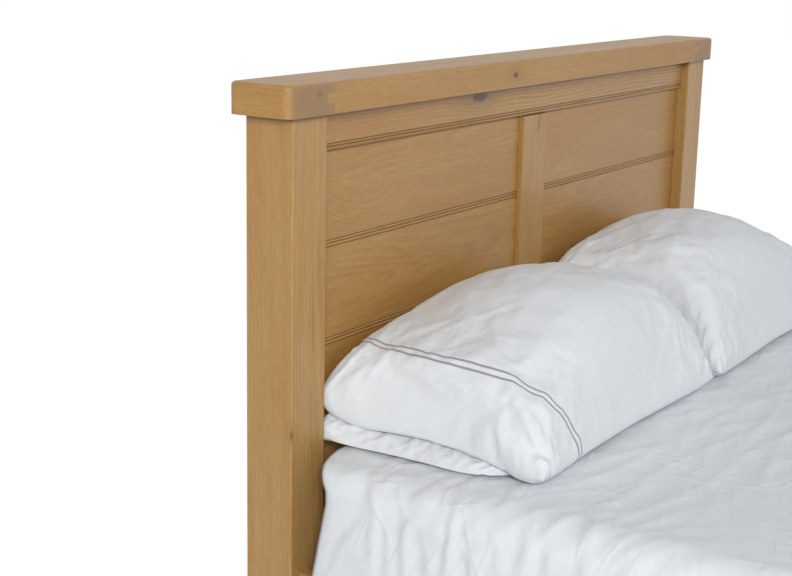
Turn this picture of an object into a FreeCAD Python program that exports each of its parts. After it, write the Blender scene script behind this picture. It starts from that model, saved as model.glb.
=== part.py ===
import FreeCAD, Part

import math
import os

# Panel bed, king size, made up with a mattress, a duvet and four pillows.
# Millimetres. X runs to the right seen from the foot, Y towards the head, Z up.
# The origin is on the floor, midway between the outermost faces.

V = FreeCAD.Vector
closing_tolerance = 1e-6

# ---------------------------------------------------------------- driving dimensions
# The mattress that the bed is made for, and the room left round it
mattress_width = 1500.0
mattress_length = 2000.0
mattress_height = 230.0
mattress_corner_radius = 45.0
mattress_edge_radius = 12.0
mattress_side_clearance = 17.5
mattress_head_gap = 5.0
mattress_foot_gap = 45.0

# The two ends: posts, rails and muntin
post_width = 90.0
post_depth = 94.0
post_edge_radius = 3.0
muntin_width = 97.0
head_height = 1150.0
foot_height = 520.0
rail_thickness = 36.0
rail_recess = 17.0
top_rail_height = 66.0
foot_rail_floor_gap = 121.5
rail_edge_chamfer = 2.0

# Cap along the top of each end, in three pieces
cap_thickness = 51.0
cap_side_overhang = 23.0
cap_front_overhang = 13.0
cap_back_overhang = 20.0
cap_corner_radius = 20.0
cap_edge_radius = 6.0
cap_block_reach = 72.0
finger_length = 20.0
finger_count = 3

# Boards between the rails
head_rows = 4
foot_rows = 1
board_recess = 26.5
board_thickness = 16.0
board_pitch = 167.0
top_board_visible = 148.5
bead_width = 4.7
bead_depth = 1.8
quirk_width = 1.2
nose_radius = 7.5
rail_bead_width = 4.0
tongue_thickness = 5.0
tongue_length = 8.0
groove_depth = 11.0
groove_end_clearance = 0.5
fit_clearance = 0.2

# Tenons of the rails in the posts
tenon_length = 40.0
tenon_inset = 12.0
mortise_end_clearance = 1.0

# Side rails, bearers and slats
side_rail_set_in = 22.0
side_rail_thickness = 28.0
side_rail_height = 150.0
side_rail_floor_gap = 190.0
side_rail_edge_radius = 4.0
mattress_well = 60.0
bearer_size = 30.0
bearer_end_gap = 62.0
slat_count = 12
slat_width = 95.0
slat_thickness = 18.0
slat_end_clearance = 3.0
slat_edge_radius = 3.0
slat_end_margin = 45.0

# Centre support
centre_rail_width = 45.0
centre_rail_height = 70.0
bracket_thickness = 3.0
bracket_height = 48.0
bracket_flange = 22.0
bracket_seat = 35.0
centre_leg_size = 50.0
centre_leg_spacing = 700.0
centre_leg_taper = 8.0

# Floor glides
glide_height = 5.0
post_glide_diameter = 50.0
leg_glide_diameter = 32.0

# Fasteners
bolt_diameter = 8.0
bolt_head_diameter = 13.0
bolt_head_height = 8.0
bolt_washer_diameter = 18.0
bolt_washer_thickness = 2.0
bolt_hole_clearance = 0.4
bolt_reach_past_nut = 12.0
bolt_height_low = 40.0
bolt_height_high = 110.0
nut_diameter = 14.0
nut_length = 22.0
nut_from_rail_end = 45.0
plug_diameter = 20.0
plug_thickness = 8.0
plug_gap = 2.0
dowel_diameter = 10.0
dowel_length = 60.0
dowel_spacing_in_post = 50.0
dowel_spacing_in_rail = 430.0
screw_diameter = 4.0
screw_head_diameter = 8.0
screw_head_height = 2.5
frame_screw_length = 45.0
bracket_screw_length = 25.0
bracket_screw_spacing = 26.0
hanger_bolt_length = 70.0

# Bedding
soft_gap = 0.4
duvet_thickness = 32.0
duvet_crown = 4.0
duvet_head_gap = 52.0
duvet_side_thickness = 20.0
duvet_rail_rise = 20.0
duvet_inner_slope = 40.0
duvet_hem_floor_gap = 172.0
duvet_shoulder = 60.0
duvet_fold_depth = 14.0
duvet_fold_count = 7
duvet_stations_per_fold = 4
duvet_tail_thickness = 16.0
duvet_tail_drop = 190.0
pillow_length = 690.0
pillow_depth = 412.0
pillow_draw_in = 14.0
pillow_edge = 14.0
pillow_fullness = 4
lower_pillow_front_edge = 22.0
lower_pillow_back_edge = 74.0
lower_pillow_rise = 76.0
upper_pillow_rise = 127.0
pillow_relief = 1.2
least_pillow_share = 0.05
pillow_pair_gap = 35.0
pillow_rail_gap = 5.0

# ---------------------------------------------------------------- derived places
side_rail_inner = mattress_width / 2 + mattress_side_clearance
side_rail_outer = side_rail_inner + side_rail_thickness
half_frame = side_rail_outer + side_rail_set_in
half_inner = half_frame - post_width
half_muntin = muntin_width / 2
inner_length = mattress_length + mattress_head_gap + mattress_foot_gap
overall_length = cap_front_overhang + 2 * post_depth + inner_length + cap_back_overhang
head_front_y = overall_length / 2 - cap_back_overhang - post_depth
foot_back_y = head_front_y - inner_length
foot_front_y = foot_back_y - post_depth

board_front = board_recess
board_back = board_recess + board_thickness
rail_back = rail_recess + rail_thickness
bead_strip = 2 * bead_width + 3 * quirk_width
housing_reach = groove_depth - groove_end_clearance

side_rail_top = side_rail_floor_gap + side_rail_height
slat_top = side_rail_top - mattress_well
slat_bottom = slat_top - slat_thickness
bearer_bottom = slat_bottom - bearer_size
centre_rail_bottom = slat_bottom - centre_rail_height
foot_rail_back_y = foot_front_y + rail_back
head_rail_front_y = head_front_y + rail_recess

mattress_top = slat_top + mattress_height
mattress_head_y = head_front_y - mattress_head_gap
mattress_foot_y = mattress_head_y - mattress_length
duvet_top = mattress_top + duvet_thickness
bolt_x = (side_rail_outer + side_rail_inner) / 2
counterbore_depth = plug_thickness + plug_gap + bolt_head_height + bolt_washer_thickness


# ---------------------------------------------------------------- helpers
def block(x0, x1, y0, y1, z0, z1):
    """A box between two corners."""
    return Part.makeBox(x1 - x0, y1 - y0, z1 - z0, V(x0, y0, z0))


def rod(x, y, z, direction, diameter, length):
    """A cylinder that starts at a point and runs along a direction."""
    return Part.makeCylinder(diameter / 2, length, V(x, y, z), direction)


def outline(start, steps):
    """A closed wire through lines (one point) and arcs (a middle and an end point).

    A last line closes it where the steps don't already end at the start."""
    edges = []
    here = start
    for step in steps:
        if len(step) == 1:
            edges.append(Part.makeLine(here, step[0]))
        else:
            edges.append(Part.Arc(here, step[0], step[1]).toShape())
        here = step[-1]
    if not here.isEqual(start, closing_tolerance):
        edges.append(Part.makeLine(here, start))
    return Part.Wire(edges)


def prism_along_x(start, steps, x0, x1):
    """A section in Y and Z carried along X. Points and steps are (y, z) pairs."""
    to_space = lambda point: V(x0, point[0], point[1])
    wire = outline(to_space(start), [[to_space(p) for p in step] for step in steps])
    return Part.Face(wire).extrude(V(x1 - x0, 0, 0))


def edges_along(shape, axis):
    """The straight edges of a shape that run along an axis."""
    found = []
    for edge in shape.Edges:
        if edge.Curve.TypeId != "Part::GeomLine":
            continue
        if abs(abs(edge.Curve.Direction.dot(axis)) - 1) < closing_tolerance:
            found.append(edge)
    return found


def level_edges(shape, z):
    """The edges of a shape that lie in one level plane."""
    return [edge for edge in shape.Edges
            if abs(edge.BoundBox.ZMin - z) < closing_tolerance
            and abs(edge.BoundBox.ZMax - z) < closing_tolerance]


def rounded_block(x0, x1, y0, y1, z0, z1, radius, axis):
    """A box whose four edges along one axis are rounded."""
    shape = block(x0, x1, y0, y1, z0, z1)
    return shape.makeFillet(radius, edges_along(shape, axis))


def mirrored(shape):
    """The same piece on the other side of the bed."""
    return shape.mirror(V(0, 0, 0), V(1, 0, 0))


def screw(x, y, z, direction, length):
    """A countersunk screw with its head's face at the point, driven along a direction."""
    head = Part.makeCone(
        screw_head_diameter / 2, screw_diameter / 2, screw_head_height, V(x, y, z), direction)
    return head.fuse(rod(x, y, z, direction, screw_diameter, length)).removeSplitter()


def screw_hole(x, y, z, direction, length):
    """The hole that takes such a screw, a fit clearance wider all round."""
    head = Part.makeCone(
        screw_head_diameter / 2 + fit_clearance, screw_diameter / 2 + fit_clearance,
        screw_head_height, V(x, y, z), direction)
    shank = rod(x, y, z, direction, screw_diameter + 2 * fit_clearance, length + fit_clearance)
    return head.fuse(shank)


def save(name, shape):
    """Writes one piece, or one group of identical loose pieces, as its own file."""
    shape.exportStep("parts/" + name + ".step")


def group(shapes):
    """Separate solids kept side by side in one file."""
    return Part.makeCompound(shapes)


# ---------------------------------------------------------------- screws, bolts and dowels: places
def slat_positions():
    """Y of the middle of each slat, evenly spaced under the mattress."""
    first = mattress_foot_y + slat_end_margin + slat_width / 2
    last = mattress_head_y - slat_end_margin - slat_width / 2
    return [first + (last - first) * i / (slat_count - 1) for i in range(slat_count)]


def slat_screw_places():
    """One screw at each end of each slat, over the middle of the bearer."""
    x = side_rail_inner - bearer_size / 2
    return [(side * x, y, slat_top) for y in slat_positions() for side in (-1, 1)]


def bearer_screw_places():
    """Y of the screws that hold a bearer to its side rail, in every other gap between slats."""
    places = slat_positions()
    return [(places[i] + places[i + 1]) / 2 for i in range(0, slat_count - 1, 2)]


def centre_leg_positions():
    """Y of the two centre legs."""
    middle = (head_rail_front_y + foot_rail_back_y) / 2
    return [middle - centre_leg_spacing / 2, middle + centre_leg_spacing / 2]


def bolt_places():
    """X and Z of the bed bolts at one corner pair."""
    heights = [side_rail_floor_gap + bolt_height_low, side_rail_floor_gap + bolt_height_high]
    return [(side * bolt_x, z) for side in (-1, 1) for z in heights]


def bolt_starts():
    """For each bolt: x, z, the y of the post's outer face and the way the bolt is driven."""
    head_outer_y = head_front_y + post_depth
    places = [(x, z, head_outer_y, V(0, -1, 0)) for x, z in bolt_places()]
    places += [(x, z, foot_front_y, V(0, 1, 0)) for x, z in bolt_places()]
    return places


def cap_dowel_places(front_y):
    """X and Y of the dowels between a cap and what it sits on."""
    in_post = half_frame - post_width / 2
    post_y = front_y + post_depth / 2
    places = []
    for side in (-1, 1):
        for shift in (-1, 1):
            places.append((side * in_post, post_y + shift * dowel_spacing_in_post / 2))
    rail_y = front_y + (rail_recess + rail_back) / 2
    for shift in (-1, 0, 1):
        places.append((shift * dowel_spacing_in_rail, rail_y))
    return places


def cap_dowel_holes(front_y, cap_underside):
    """Holes for those dowels, half in the cap and half below it."""
    hole = dowel_diameter + 2 * fit_clearance
    half = dowel_length / 2 + fit_clearance
    return [rod(x, y, cap_underside - half, V(0, 0, 1), hole, 2 * half)
            for x, y in cap_dowel_places(front_y)]


# ---------------------------------------------------------------- one end of the bed
def board_levels(cap_underside, rows):
    """Top and bottom of each row of boards, from the top rail down."""
    levels = []
    top = cap_underside - top_rail_height
    for row in range(rows):
        bottom = top - (top_board_visible + bead_strip if row == 0 else board_pitch)
        levels.append((top, bottom))
        top = bottom
    return levels


def bead_steps(face_y, z, width):
    """A quirk and then a half-round bead below it, worked into a flat face."""
    floor_y = face_y + bead_depth
    bead_top = z - quirk_width
    middle = (face_y, bead_top - width / 2)
    return [
        [(floor_y, z)],
        [(floor_y, bead_top)],
        [middle, (floor_y, bead_top - width)],
    ]


def post(side, front_y, cap_underside, levels, rail_bottom):
    """A square post, with the mortises, board groove and bolt holes of its end."""
    shape = rounded_block(
        half_inner, half_frame, front_y, front_y + post_depth,
        glide_height, cap_underside, post_edge_radius, V(0, 0, 1))
    y0 = front_y + board_front - fit_clearance
    y1 = front_y + board_back + fit_clearance
    rail_top = levels[-1][1]
    groove_x = half_inner + groove_depth
    mortise_x = half_inner + tenon_length + mortise_end_clearance
    cuts = [block(half_inner, groove_x, y0, y1, rail_top - housing_reach, levels[0][0] + housing_reach)]
    for z0, z1 in ((rail_bottom, rail_top), (cap_underside - top_rail_height, cap_underside)):
        cuts.append(block(
            half_inner, mortise_x, y0, y1,
            z0 + tenon_inset - fit_clearance, z1 - tenon_inset + fit_clearance))
    cuts += cap_dowel_holes(front_y, cap_underside)
    bore = bolt_diameter + bolt_hole_clearance
    for x, z, outer_y, way in bolt_starts():
        cuts.append(rod(x, outer_y, z, way, bore, post_depth))
        cuts.append(rod(x, outer_y, z, way, plug_diameter + 2 * fit_clearance, counterbore_depth))
    shape = shape if side > 0 else mirrored(shape)
    sided = [cut if side > 0 else mirrored(cut) for cut in cuts]
    return shape.cut(sided)


def rail_blank(start, steps, front_y, z0, z1):
    """A rail between the posts: its section carried across, with a tenon at each end."""
    body = prism_along_x(start, steps, -half_inner, half_inner)
    tenon = block(
        -half_inner - tenon_length, half_inner + tenon_length,
        front_y + board_front, front_y + board_back, z0 + tenon_inset, z1 - tenon_inset)
    ends = tenon.cut(block(
        -half_inner, half_inner, front_y, front_y + post_depth, z0, z1))
    return body.fuse(ends).removeSplitter()


def top_rail(front_y, cap_underside):
    """The top rail: a small bead and a round nose on its lower edge, a groove under it."""
    face = front_y + rail_recess
    back = front_y + rail_back
    bottom = cap_underside - top_rail_height
    nose_top = bottom + nose_radius
    bead_top = nose_top + 2 * quirk_width + rail_bead_width
    groove_front = front_y + board_front - fit_clearance
    groove_back = front_y + board_back + fit_clearance
    nose_swing = nose_radius * (1 - math.sqrt(0.5))
    steps = [[(face, bead_top)]]
    steps += bead_steps(face, bead_top, rail_bead_width)
    steps += [
        [(face + bead_depth, nose_top)],
        [(face, nose_top)],
        [(face + nose_swing, bottom + nose_swing), (face + nose_radius, bottom)],
        [(groove_front, bottom)],
        [(groove_front, bottom + groove_depth)],
        [(groove_back, bottom + groove_depth)],
        [(groove_back, bottom)],
        [(back, bottom)],
        [(back, cap_underside)],
    ]
    shape = rail_blank((face, cap_underside), steps, front_y, bottom, cap_underside)
    return shape.cut(cap_dowel_holes(front_y, cap_underside))


def bottom_rail(front_y, top, bottom):
    """The bottom rail: a plain section with a groove along its top for the lowest boards."""
    face = front_y + rail_recess
    back = front_y + rail_back
    groove_front = front_y + board_front - fit_clearance
    groove_back = front_y + board_back + fit_clearance
    steps = [
        [(face, bottom + rail_edge_chamfer)],
        [(face + rail_edge_chamfer, bottom)],
        [(back - rail_edge_chamfer, bottom)],
        [(back, bottom + rail_edge_chamfer)],
        [(back, top)],
        [(groove_back, top)],
        [(groove_back, top - groove_depth)],
        [(groove_front, top - groove_depth)],
        [(groove_front, top)],
        [(face + rail_edge_chamfer, top)],
    ]
    return rail_blank((face, top - rail_edge_chamfer), steps, front_y, bottom, top)


def muntin(front_y, bottom, top):
    """The upright between the two bays, grooved at both edges, with a stub at each end."""
    face = front_y + rail_recess
    back = front_y + rail_back
    stub = block(
        -half_muntin, half_muntin, front_y + board_front, front_y + board_back,
        bottom - housing_reach, top + housing_reach)
    shape = block(-half_muntin, half_muntin, face, back, bottom, top).fuse(stub)
    y0 = front_y + board_front - fit_clearance
    y1 = front_y + board_back + fit_clearance
    z0 = bottom - groove_depth
    z1 = top + groove_depth
    floor = half_muntin - groove_depth
    grooves = [block(-half_muntin, -floor, y0, y1, z0, z1), block(floor, half_muntin, y0, y1, z0, z1)]
    return shape.cut(grooves).removeSplitter()


def board(front_y, x0, x1, top, bottom, is_first, is_last):
    """One board: a double bead along its lower edge, a groove above and a tongue below."""
    face = front_y + board_front
    back = front_y + board_back
    middle = (face + back) / 2
    strip_top = bottom + bead_strip
    steps = [[(face, strip_top)]]
    steps += bead_steps(face, strip_top, bead_width)
    steps += bead_steps(face, strip_top - quirk_width - bead_width, bead_width)[1:]
    steps.append([(face + bead_depth, bottom)])
    if is_last:
        steps += [[(face, bottom)], [(face, bottom - housing_reach)], [(back, bottom - housing_reach)]]
    else:
        tongue_front = middle - tongue_thickness / 2
        tongue_back = middle + tongue_thickness / 2
        steps += [
            [(tongue_front, bottom)],
            [(tongue_front, bottom - tongue_length)],
            [(tongue_back, bottom - tongue_length)],
            [(tongue_back, bottom)],
            [(back, bottom)],
        ]
    if is_first:
        steps.append([(back, top + housing_reach)])
        start = (face, top + housing_reach)
    else:
        slot_front = middle - tongue_thickness / 2 - fit_clearance
        slot_back = middle + tongue_thickness / 2 + fit_clearance
        slot_floor = top - tongue_length - groove_end_clearance
        steps += [
            [(back, top)],
            [(slot_back, top)],
            [(slot_back, slot_floor)],
            [(slot_front, slot_floor)],
            [(slot_front, top)],
        ]
        start = (face, top)
    return prism_along_x(start, steps, x0, x1)


def cap(front_y, cap_underside):
    """The whole cap before it is divided: round corners, a soft top edge, a sharp underside."""
    half_cap = half_frame + cap_side_overhang
    top = cap_underside + cap_thickness
    shape = rounded_block(
        -half_cap, half_cap, front_y - cap_front_overhang, front_y + post_depth + cap_back_overhang,
        cap_underside, top, cap_corner_radius, V(0, 0, 1))
    return shape.makeFillet(cap_edge_radius, level_edges(shape, top))


def cap_block_space(front_y, cap_underside):
    """The space of the left cap block: its body and its top and bottom fingers."""
    far_x = -half_frame - cap_side_overhang - 1
    shoulder_x = -half_frame + cap_block_reach
    tip_x = shoulder_x + finger_length
    y0 = front_y - cap_front_overhang - 1
    y1 = front_y + post_depth + cap_back_overhang + 1
    finger = cap_thickness / finger_count
    shape = block(far_x, shoulder_x, y0, y1, cap_underside - 1, cap_underside + cap_thickness + 1)
    for layer in range(0, finger_count, 2):
        z0 = cap_underside + finger * layer
        shape = shape.fuse(block(shoulder_x, tip_x, y0, y1, z0, z0 + finger))
    return shape


def make_end(prefix, front_y, height, rows, rail_bottom):
    """All the wooden pieces of the head end or the foot end."""
    cap_underside = height - cap_thickness
    levels = board_levels(cap_underside, rows)
    rail_top = levels[-1][1]
    for side, word in ((-1, "left"), (1, "right")):
        shape = post(side, front_y, cap_underside, levels, rail_bottom)
        save(prefix + "_post_" + word, shape)

    whole_cap = cap(front_y, cap_underside).cut(cap_dowel_holes(front_y, cap_underside))
    left_space = cap_block_space(front_y, cap_underside)
    right_space = mirrored(left_space)
    save(prefix + "_cap_block_left", whole_cap.common(left_space))
    save(prefix + "_cap_block_right", whole_cap.common(right_space))
    save(prefix + "_cap_rail", whole_cap.cut([left_space, right_space]))

    save(prefix + "_top_rail", top_rail(front_y, cap_underside))
    lowest_rail = bottom_rail(front_y, rail_top, rail_bottom)
    save(prefix + "_bottom_rail", lowest_rail.cut(bracket_screw_holes()))
    save(prefix + "_muntin", muntin(front_y, rail_top, levels[0][0]))

    x0 = half_muntin - housing_reach
    x1 = half_inner + housing_reach
    for row, (top, bottom) in enumerate(levels):
        for side, word in ((-1, "left"), (1, "right")):
            ends = (x0, x1) if side > 0 else (-x1, -x0)
            shape = board(front_y, ends[0], ends[1], top, bottom, row == 0, row == rows - 1)
            save(prefix + "_board_" + word + "_" + str(row + 1), shape)


# ---------------------------------------------------------------- side rails, bearers and slats
def side_rail():
    """The right side rail, with its bolt, barrel nut and bearer screw holes."""
    shape = rounded_block(
        side_rail_inner, side_rail_outer, foot_back_y, head_front_y,
        side_rail_floor_gap, side_rail_top, side_rail_edge_radius, V(0, 1, 0))
    bore = bolt_diameter + bolt_hole_clearance
    reach = nut_from_rail_end + bolt_reach_past_nut + fit_clearance
    nut_bore = nut_diameter + 2 * fit_clearance
    nut_depth = nut_length + fit_clearance
    cuts = []
    for x, z in bolt_places():
        cuts.append(rod(x, head_front_y, z, V(0, -1, 0), bore, reach))
        cuts.append(rod(x, foot_back_y, z, V(0, 1, 0), bore, reach))
        for y in (head_front_y - nut_from_rail_end, foot_back_y + nut_from_rail_end):
            cuts.append(rod(side_rail_inner, y, z, V(1, 0, 0), nut_bore, nut_depth))
    cuts += bearer_screw_holes()
    return shape.cut(cuts)


def bearer_screw_holes():
    """The holes of the right bearer's screws, from the bearer into the side rail."""
    x = side_rail_inner - bearer_size
    z = bearer_bottom + bearer_size / 2
    return [screw_hole(x, y, z, V(1, 0, 0), frame_screw_length) for y in bearer_screw_places()]


def bearer_screws():
    """The screws of both bearers."""
    x = side_rail_inner - bearer_size
    z = bearer_bottom + bearer_size / 2
    right = [screw(x, y, z, V(1, 0, 0), frame_screw_length) for y in bearer_screw_places()]
    return right + [mirrored(shape) for shape in right]


def slat_screws():
    """The screws of the slats, with their heads flush in the slats' tops."""
    return [screw(x, y, z, V(0, 0, -1), frame_screw_length) for x, y, z in slat_screw_places()]


def slat_screw_holes():
    """The holes of the slat screws, through the slats and into the bearers."""
    return [screw_hole(x, y, z, V(0, 0, -1), frame_screw_length) for x, y, z in slat_screw_places()]


def slat_bearer():
    """The right bearer, a square batten along the side rail."""
    shape = block(
        side_rail_inner - bearer_size, side_rail_inner,
        foot_back_y + bearer_end_gap, head_front_y - bearer_end_gap,
        bearer_bottom, slat_bottom)
    return shape.cut(bearer_screw_holes() + slat_screw_holes())


def slat(y):
    """One slat, with softened long edges, across both bearers and the centre rail."""
    half_slat = side_rail_inner - slat_end_clearance
    shape = rounded_block(
        -half_slat, half_slat, y - slat_width / 2, y + slat_width / 2,
        slat_bottom, slat_top, slat_edge_radius, V(1, 0, 0))
    return shape.cut(slat_screw_holes())


# ---------------------------------------------------------------- centre support
def bracket_places():
    """For each bracket: the y of the face that it is screwed to, and the way it points."""
    return [(head_rail_front_y, -1), (foot_rail_back_y, 1)]


def bracket_screw_places():
    """Each bracket screw's place and the way it is driven."""
    x = centre_rail_width / 2 + bracket_thickness + bracket_flange / 2
    z_middle = centre_rail_bottom - bracket_thickness + bracket_height / 2
    places = []
    for face_y, way in bracket_places():
        for side in (-1, 1):
            for shift in (-1, 1):
                z = z_middle + shift * bracket_screw_spacing / 2
                places.append((side * x, face_y + way * bracket_thickness, z, V(0, -way, 0)))
    return places


def bracket_screw_holes():
    """The holes of the bracket screws."""
    return [screw_hole(x, y, z, way, bracket_screw_length) for x, y, z, way in bracket_screw_places()]


def bracket(face_y, way):
    """A bent steel hanger: a plate on the rail, two cheeks and a seat under the centre rail."""
    half_seat = centre_rail_width / 2
    half_cheek = half_seat + bracket_thickness
    half_plate = half_cheek + bracket_flange
    bottom = centre_rail_bottom - bracket_thickness
    top = bottom + bracket_height
    plate_y = sorted((face_y, face_y + way * bracket_thickness))
    seat_y = sorted((face_y, face_y + way * (bracket_thickness + bracket_seat)))
    shape = block(-half_plate, half_plate, plate_y[0], plate_y[1], bottom, top)
    shape = shape.fuse(block(-half_cheek, half_cheek, seat_y[0], seat_y[1], bottom, centre_rail_bottom))
    for side in (-1, 1):
        cheek_x = sorted((side * half_seat, side * half_cheek))
        shape = shape.fuse(block(cheek_x[0], cheek_x[1], seat_y[0], seat_y[1], bottom, top))
    return shape.removeSplitter().cut(bracket_screw_holes())


def leg_bolt_holes():
    """The holes of the hanger bolts, half in each leg and half in the centre rail."""
    hole = bolt_diameter + bolt_hole_clearance
    half = hanger_bolt_length / 2 + fit_clearance
    return [rod(0, y, centre_rail_bottom - half, V(0, 0, 1), hole, 2 * half)
            for y in centre_leg_positions()]


def centre_rail():
    """The rail along the middle, which carries the slats and hangs in a bracket at each end."""
    half = centre_rail_width / 2
    shape = block(
        -half, half, foot_rail_back_y + bracket_thickness, head_rail_front_y - bracket_thickness,
        centre_rail_bottom, slat_bottom)
    return shape.cut(leg_bolt_holes())


def centre_leg(y):
    """A square leg, tapered to its foot, under the centre rail."""
    sections = []
    for z, size in ((glide_height, centre_leg_size - 2 * centre_leg_taper),
                    (centre_rail_bottom, centre_leg_size)):
        half = size / 2
        corners = [V(-half, y - half, z), V(half, y - half, z), V(half, y + half, z), V(-half, y + half, z)]
        sections.append(Part.makePolygon(corners + corners[:1]))
    return Part.makeLoft(sections, True, True).cut(leg_bolt_holes())


# ---------------------------------------------------------------- bolts, nuts, plugs, dowels, glides
def bed_bolts():
    """The bed bolts, each with its washer, from the posts into the side rails."""
    shapes = []
    for x, z, outer_y, way in bolt_starts():
        head_y = outer_y + way.y * (plug_thickness + plug_gap)
        washer_y = head_y + way.y * bolt_head_height
        length = (post_depth - plug_thickness - plug_gap - bolt_head_height
                  + nut_from_rail_end + bolt_reach_past_nut)
        shape = rod(x, head_y, z, way, bolt_head_diameter, bolt_head_height)
        shape = shape.fuse(rod(x, washer_y, z, way, bolt_washer_diameter, bolt_washer_thickness))
        shapes.append(shape.fuse(rod(x, washer_y, z, way, bolt_diameter, length)).removeSplitter())
    return shapes


def barrel_nuts():
    """The barrel nuts, let into the side rails from their inner faces."""
    shapes = []
    bore = bolt_diameter + bolt_hole_clearance
    for side in (-1, 1):
        for z in sorted({z for x, z in bolt_places()}):
            for y in (head_front_y - nut_from_rail_end, foot_back_y + nut_from_rail_end):
                nut = rod(side * side_rail_inner, y, z, V(side, 0, 0), nut_diameter, nut_length)
                thread = rod(side * bolt_x, y - nut_diameter, z, V(0, 1, 0), bore, 2 * nut_diameter)
                shapes.append(nut.cut(thread))
    return shapes


def bolt_plugs():
    """The wooden plugs that cover the bolt heads, flush with the posts."""
    return [rod(x, outer_y, z, way, plug_diameter, plug_thickness)
            for x, z, outer_y, way in bolt_starts()]


def cap_dowels():
    """The dowels that hold both caps."""
    shapes = []
    for front_y, height in ((head_front_y, head_height), (foot_front_y, foot_height)):
        bottom = height - cap_thickness - dowel_length / 2
        for x, y in cap_dowel_places(front_y):
            shapes.append(rod(x, y, bottom, V(0, 0, 1), dowel_diameter, dowel_length))
    return shapes


def floor_glides():
    """A hard felt glide under each post and each centre leg."""
    shapes = []
    for front_y in (head_front_y, foot_front_y):
        for side in (-1, 1):
            x = side * (half_frame - post_width / 2)
            shapes.append(rod(x, front_y + post_depth / 2, 0, V(0, 0, 1), post_glide_diameter, glide_height))
    for y in centre_leg_positions():
        shapes.append(rod(0, y, 0, V(0, 0, 1), leg_glide_diameter, glide_height))
    return shapes


# ---------------------------------------------------------------- bedding
def mattress():
    """The mattress: round corners in plan and a soft edge where its borders are taped."""
    half = mattress_width / 2
    shape = rounded_block(
        -half, half, mattress_foot_y, mattress_head_y, slat_top, mattress_top,
        mattress_corner_radius, V(0, 0, 1))
    rims = level_edges(shape, slat_top) + level_edges(shape, mattress_top)
    return shape.makeFillet(mattress_edge_radius, rims)


def duvet_section(y, swell_left, swell_right):
    """The duvet cut across the bed: over the mattress and down both sides.

    A swell moves that side's hem out where a fold stands proud."""
    inner = side_rail_outer + soft_gap
    outer = inner + duvet_side_thickness
    mattress_side = mattress_width / 2 + soft_gap
    under = mattress_top + soft_gap
    shoulder_z = duvet_top - duvet_shoulder
    hem = duvet_hem_floor_gap
    hem_round = duvet_side_thickness / 2

    def side_points(sign, swell):
        """One side's steps from the middle outwards and round the hem to the inside."""
        bulge = duvet_shoulder * (1 - math.sqrt(0.5))
        hem_x = outer + swell
        return {
            "crown": V(sign * (outer - duvet_shoulder), y, duvet_top),
            "shoulder_middle": V(sign * (outer - bulge), y, duvet_top - bulge),
            "shoulder": V(sign * outer, y, shoulder_z),
            "hem_outer": V(sign * hem_x, y, hem + hem_round),
            "hem_middle": V(sign * (hem_x + inner) / 2, y, hem),
            "hem_inner": V(sign * inner, y, hem + hem_round),
            "rail": V(sign * inner, y, side_rail_top + duvet_rail_rise),
            "mattress": V(sign * mattress_side, y, side_rail_top + duvet_rail_rise + duvet_inner_slope),
            "mattress_edge": V(sign * mattress_side, y, under),
        }

    left = side_points(-1, swell_left)
    right = side_points(1, swell_right)
    steps = [[V(0, y, duvet_top + duvet_crown), right["crown"]]]
    steps += [[right["shoulder_middle"], right["shoulder"]]]
    steps += [[right["hem_outer"]], [right["hem_middle"], right["hem_inner"]]]
    steps += [[right[name]] for name in ("rail", "mattress", "mattress_edge")]
    steps += [[left[name]] for name in ("mattress_edge", "mattress", "rail", "hem_inner")]
    steps += [[left["hem_middle"], left["hem_outer"]], [left["shoulder"]]]
    steps += [[left["shoulder_middle"], left["crown"]]]
    return outline(left["crown"], steps)


def duvet():
    """The duvet: hanging folds along both sides, and a tail tucked in at the foot."""
    head_y = head_front_y - duvet_head_gap
    foot_y = mattress_foot_y
    stations = duvet_stations_per_fold * duvet_fold_count + 1
    sections = []
    for i in range(stations):
        y = foot_y + (head_y - foot_y) * i / (stations - 1)
        turn = 2 * math.pi * i / duvet_stations_per_fold
        left = duvet_fold_depth * (1 - math.cos(turn)) / 2
        right = duvet_fold_depth * (1 + math.cos(turn)) / 2
        sections.append(duvet_section(y, left, right))
    cover = Part.makeLoft(sections, True, False)
    tail_inner = foot_y - soft_gap
    tail_outer = tail_inner - duvet_tail_thickness
    tail_end = mattress_top - duvet_tail_drop
    turn = foot_y - tail_outer
    swing = turn * math.sqrt(0.5)
    steps = [
        [(tail_outer + turn - swing, duvet_top - turn + swing), (tail_outer, duvet_top - turn)],
        [(tail_outer, tail_end)],
        [(tail_inner, tail_end)],
        [(tail_inner, mattress_top + soft_gap)],
        [(foot_y, mattress_top + soft_gap)],
    ]
    half = mattress_width / 2 - mattress_corner_radius
    tail = prism_along_x((foot_y, duvet_top), steps, -half, half)
    return cover.fuse(tail)


def pillow_stations():
    """Places along a pillow from -1 to 1, closer together towards its full ends."""
    inner = [0.0, 0.35, 0.65, 0.85, 0.95, 1.0]
    return [-s for s in reversed(inner[1:])] + inner


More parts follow.
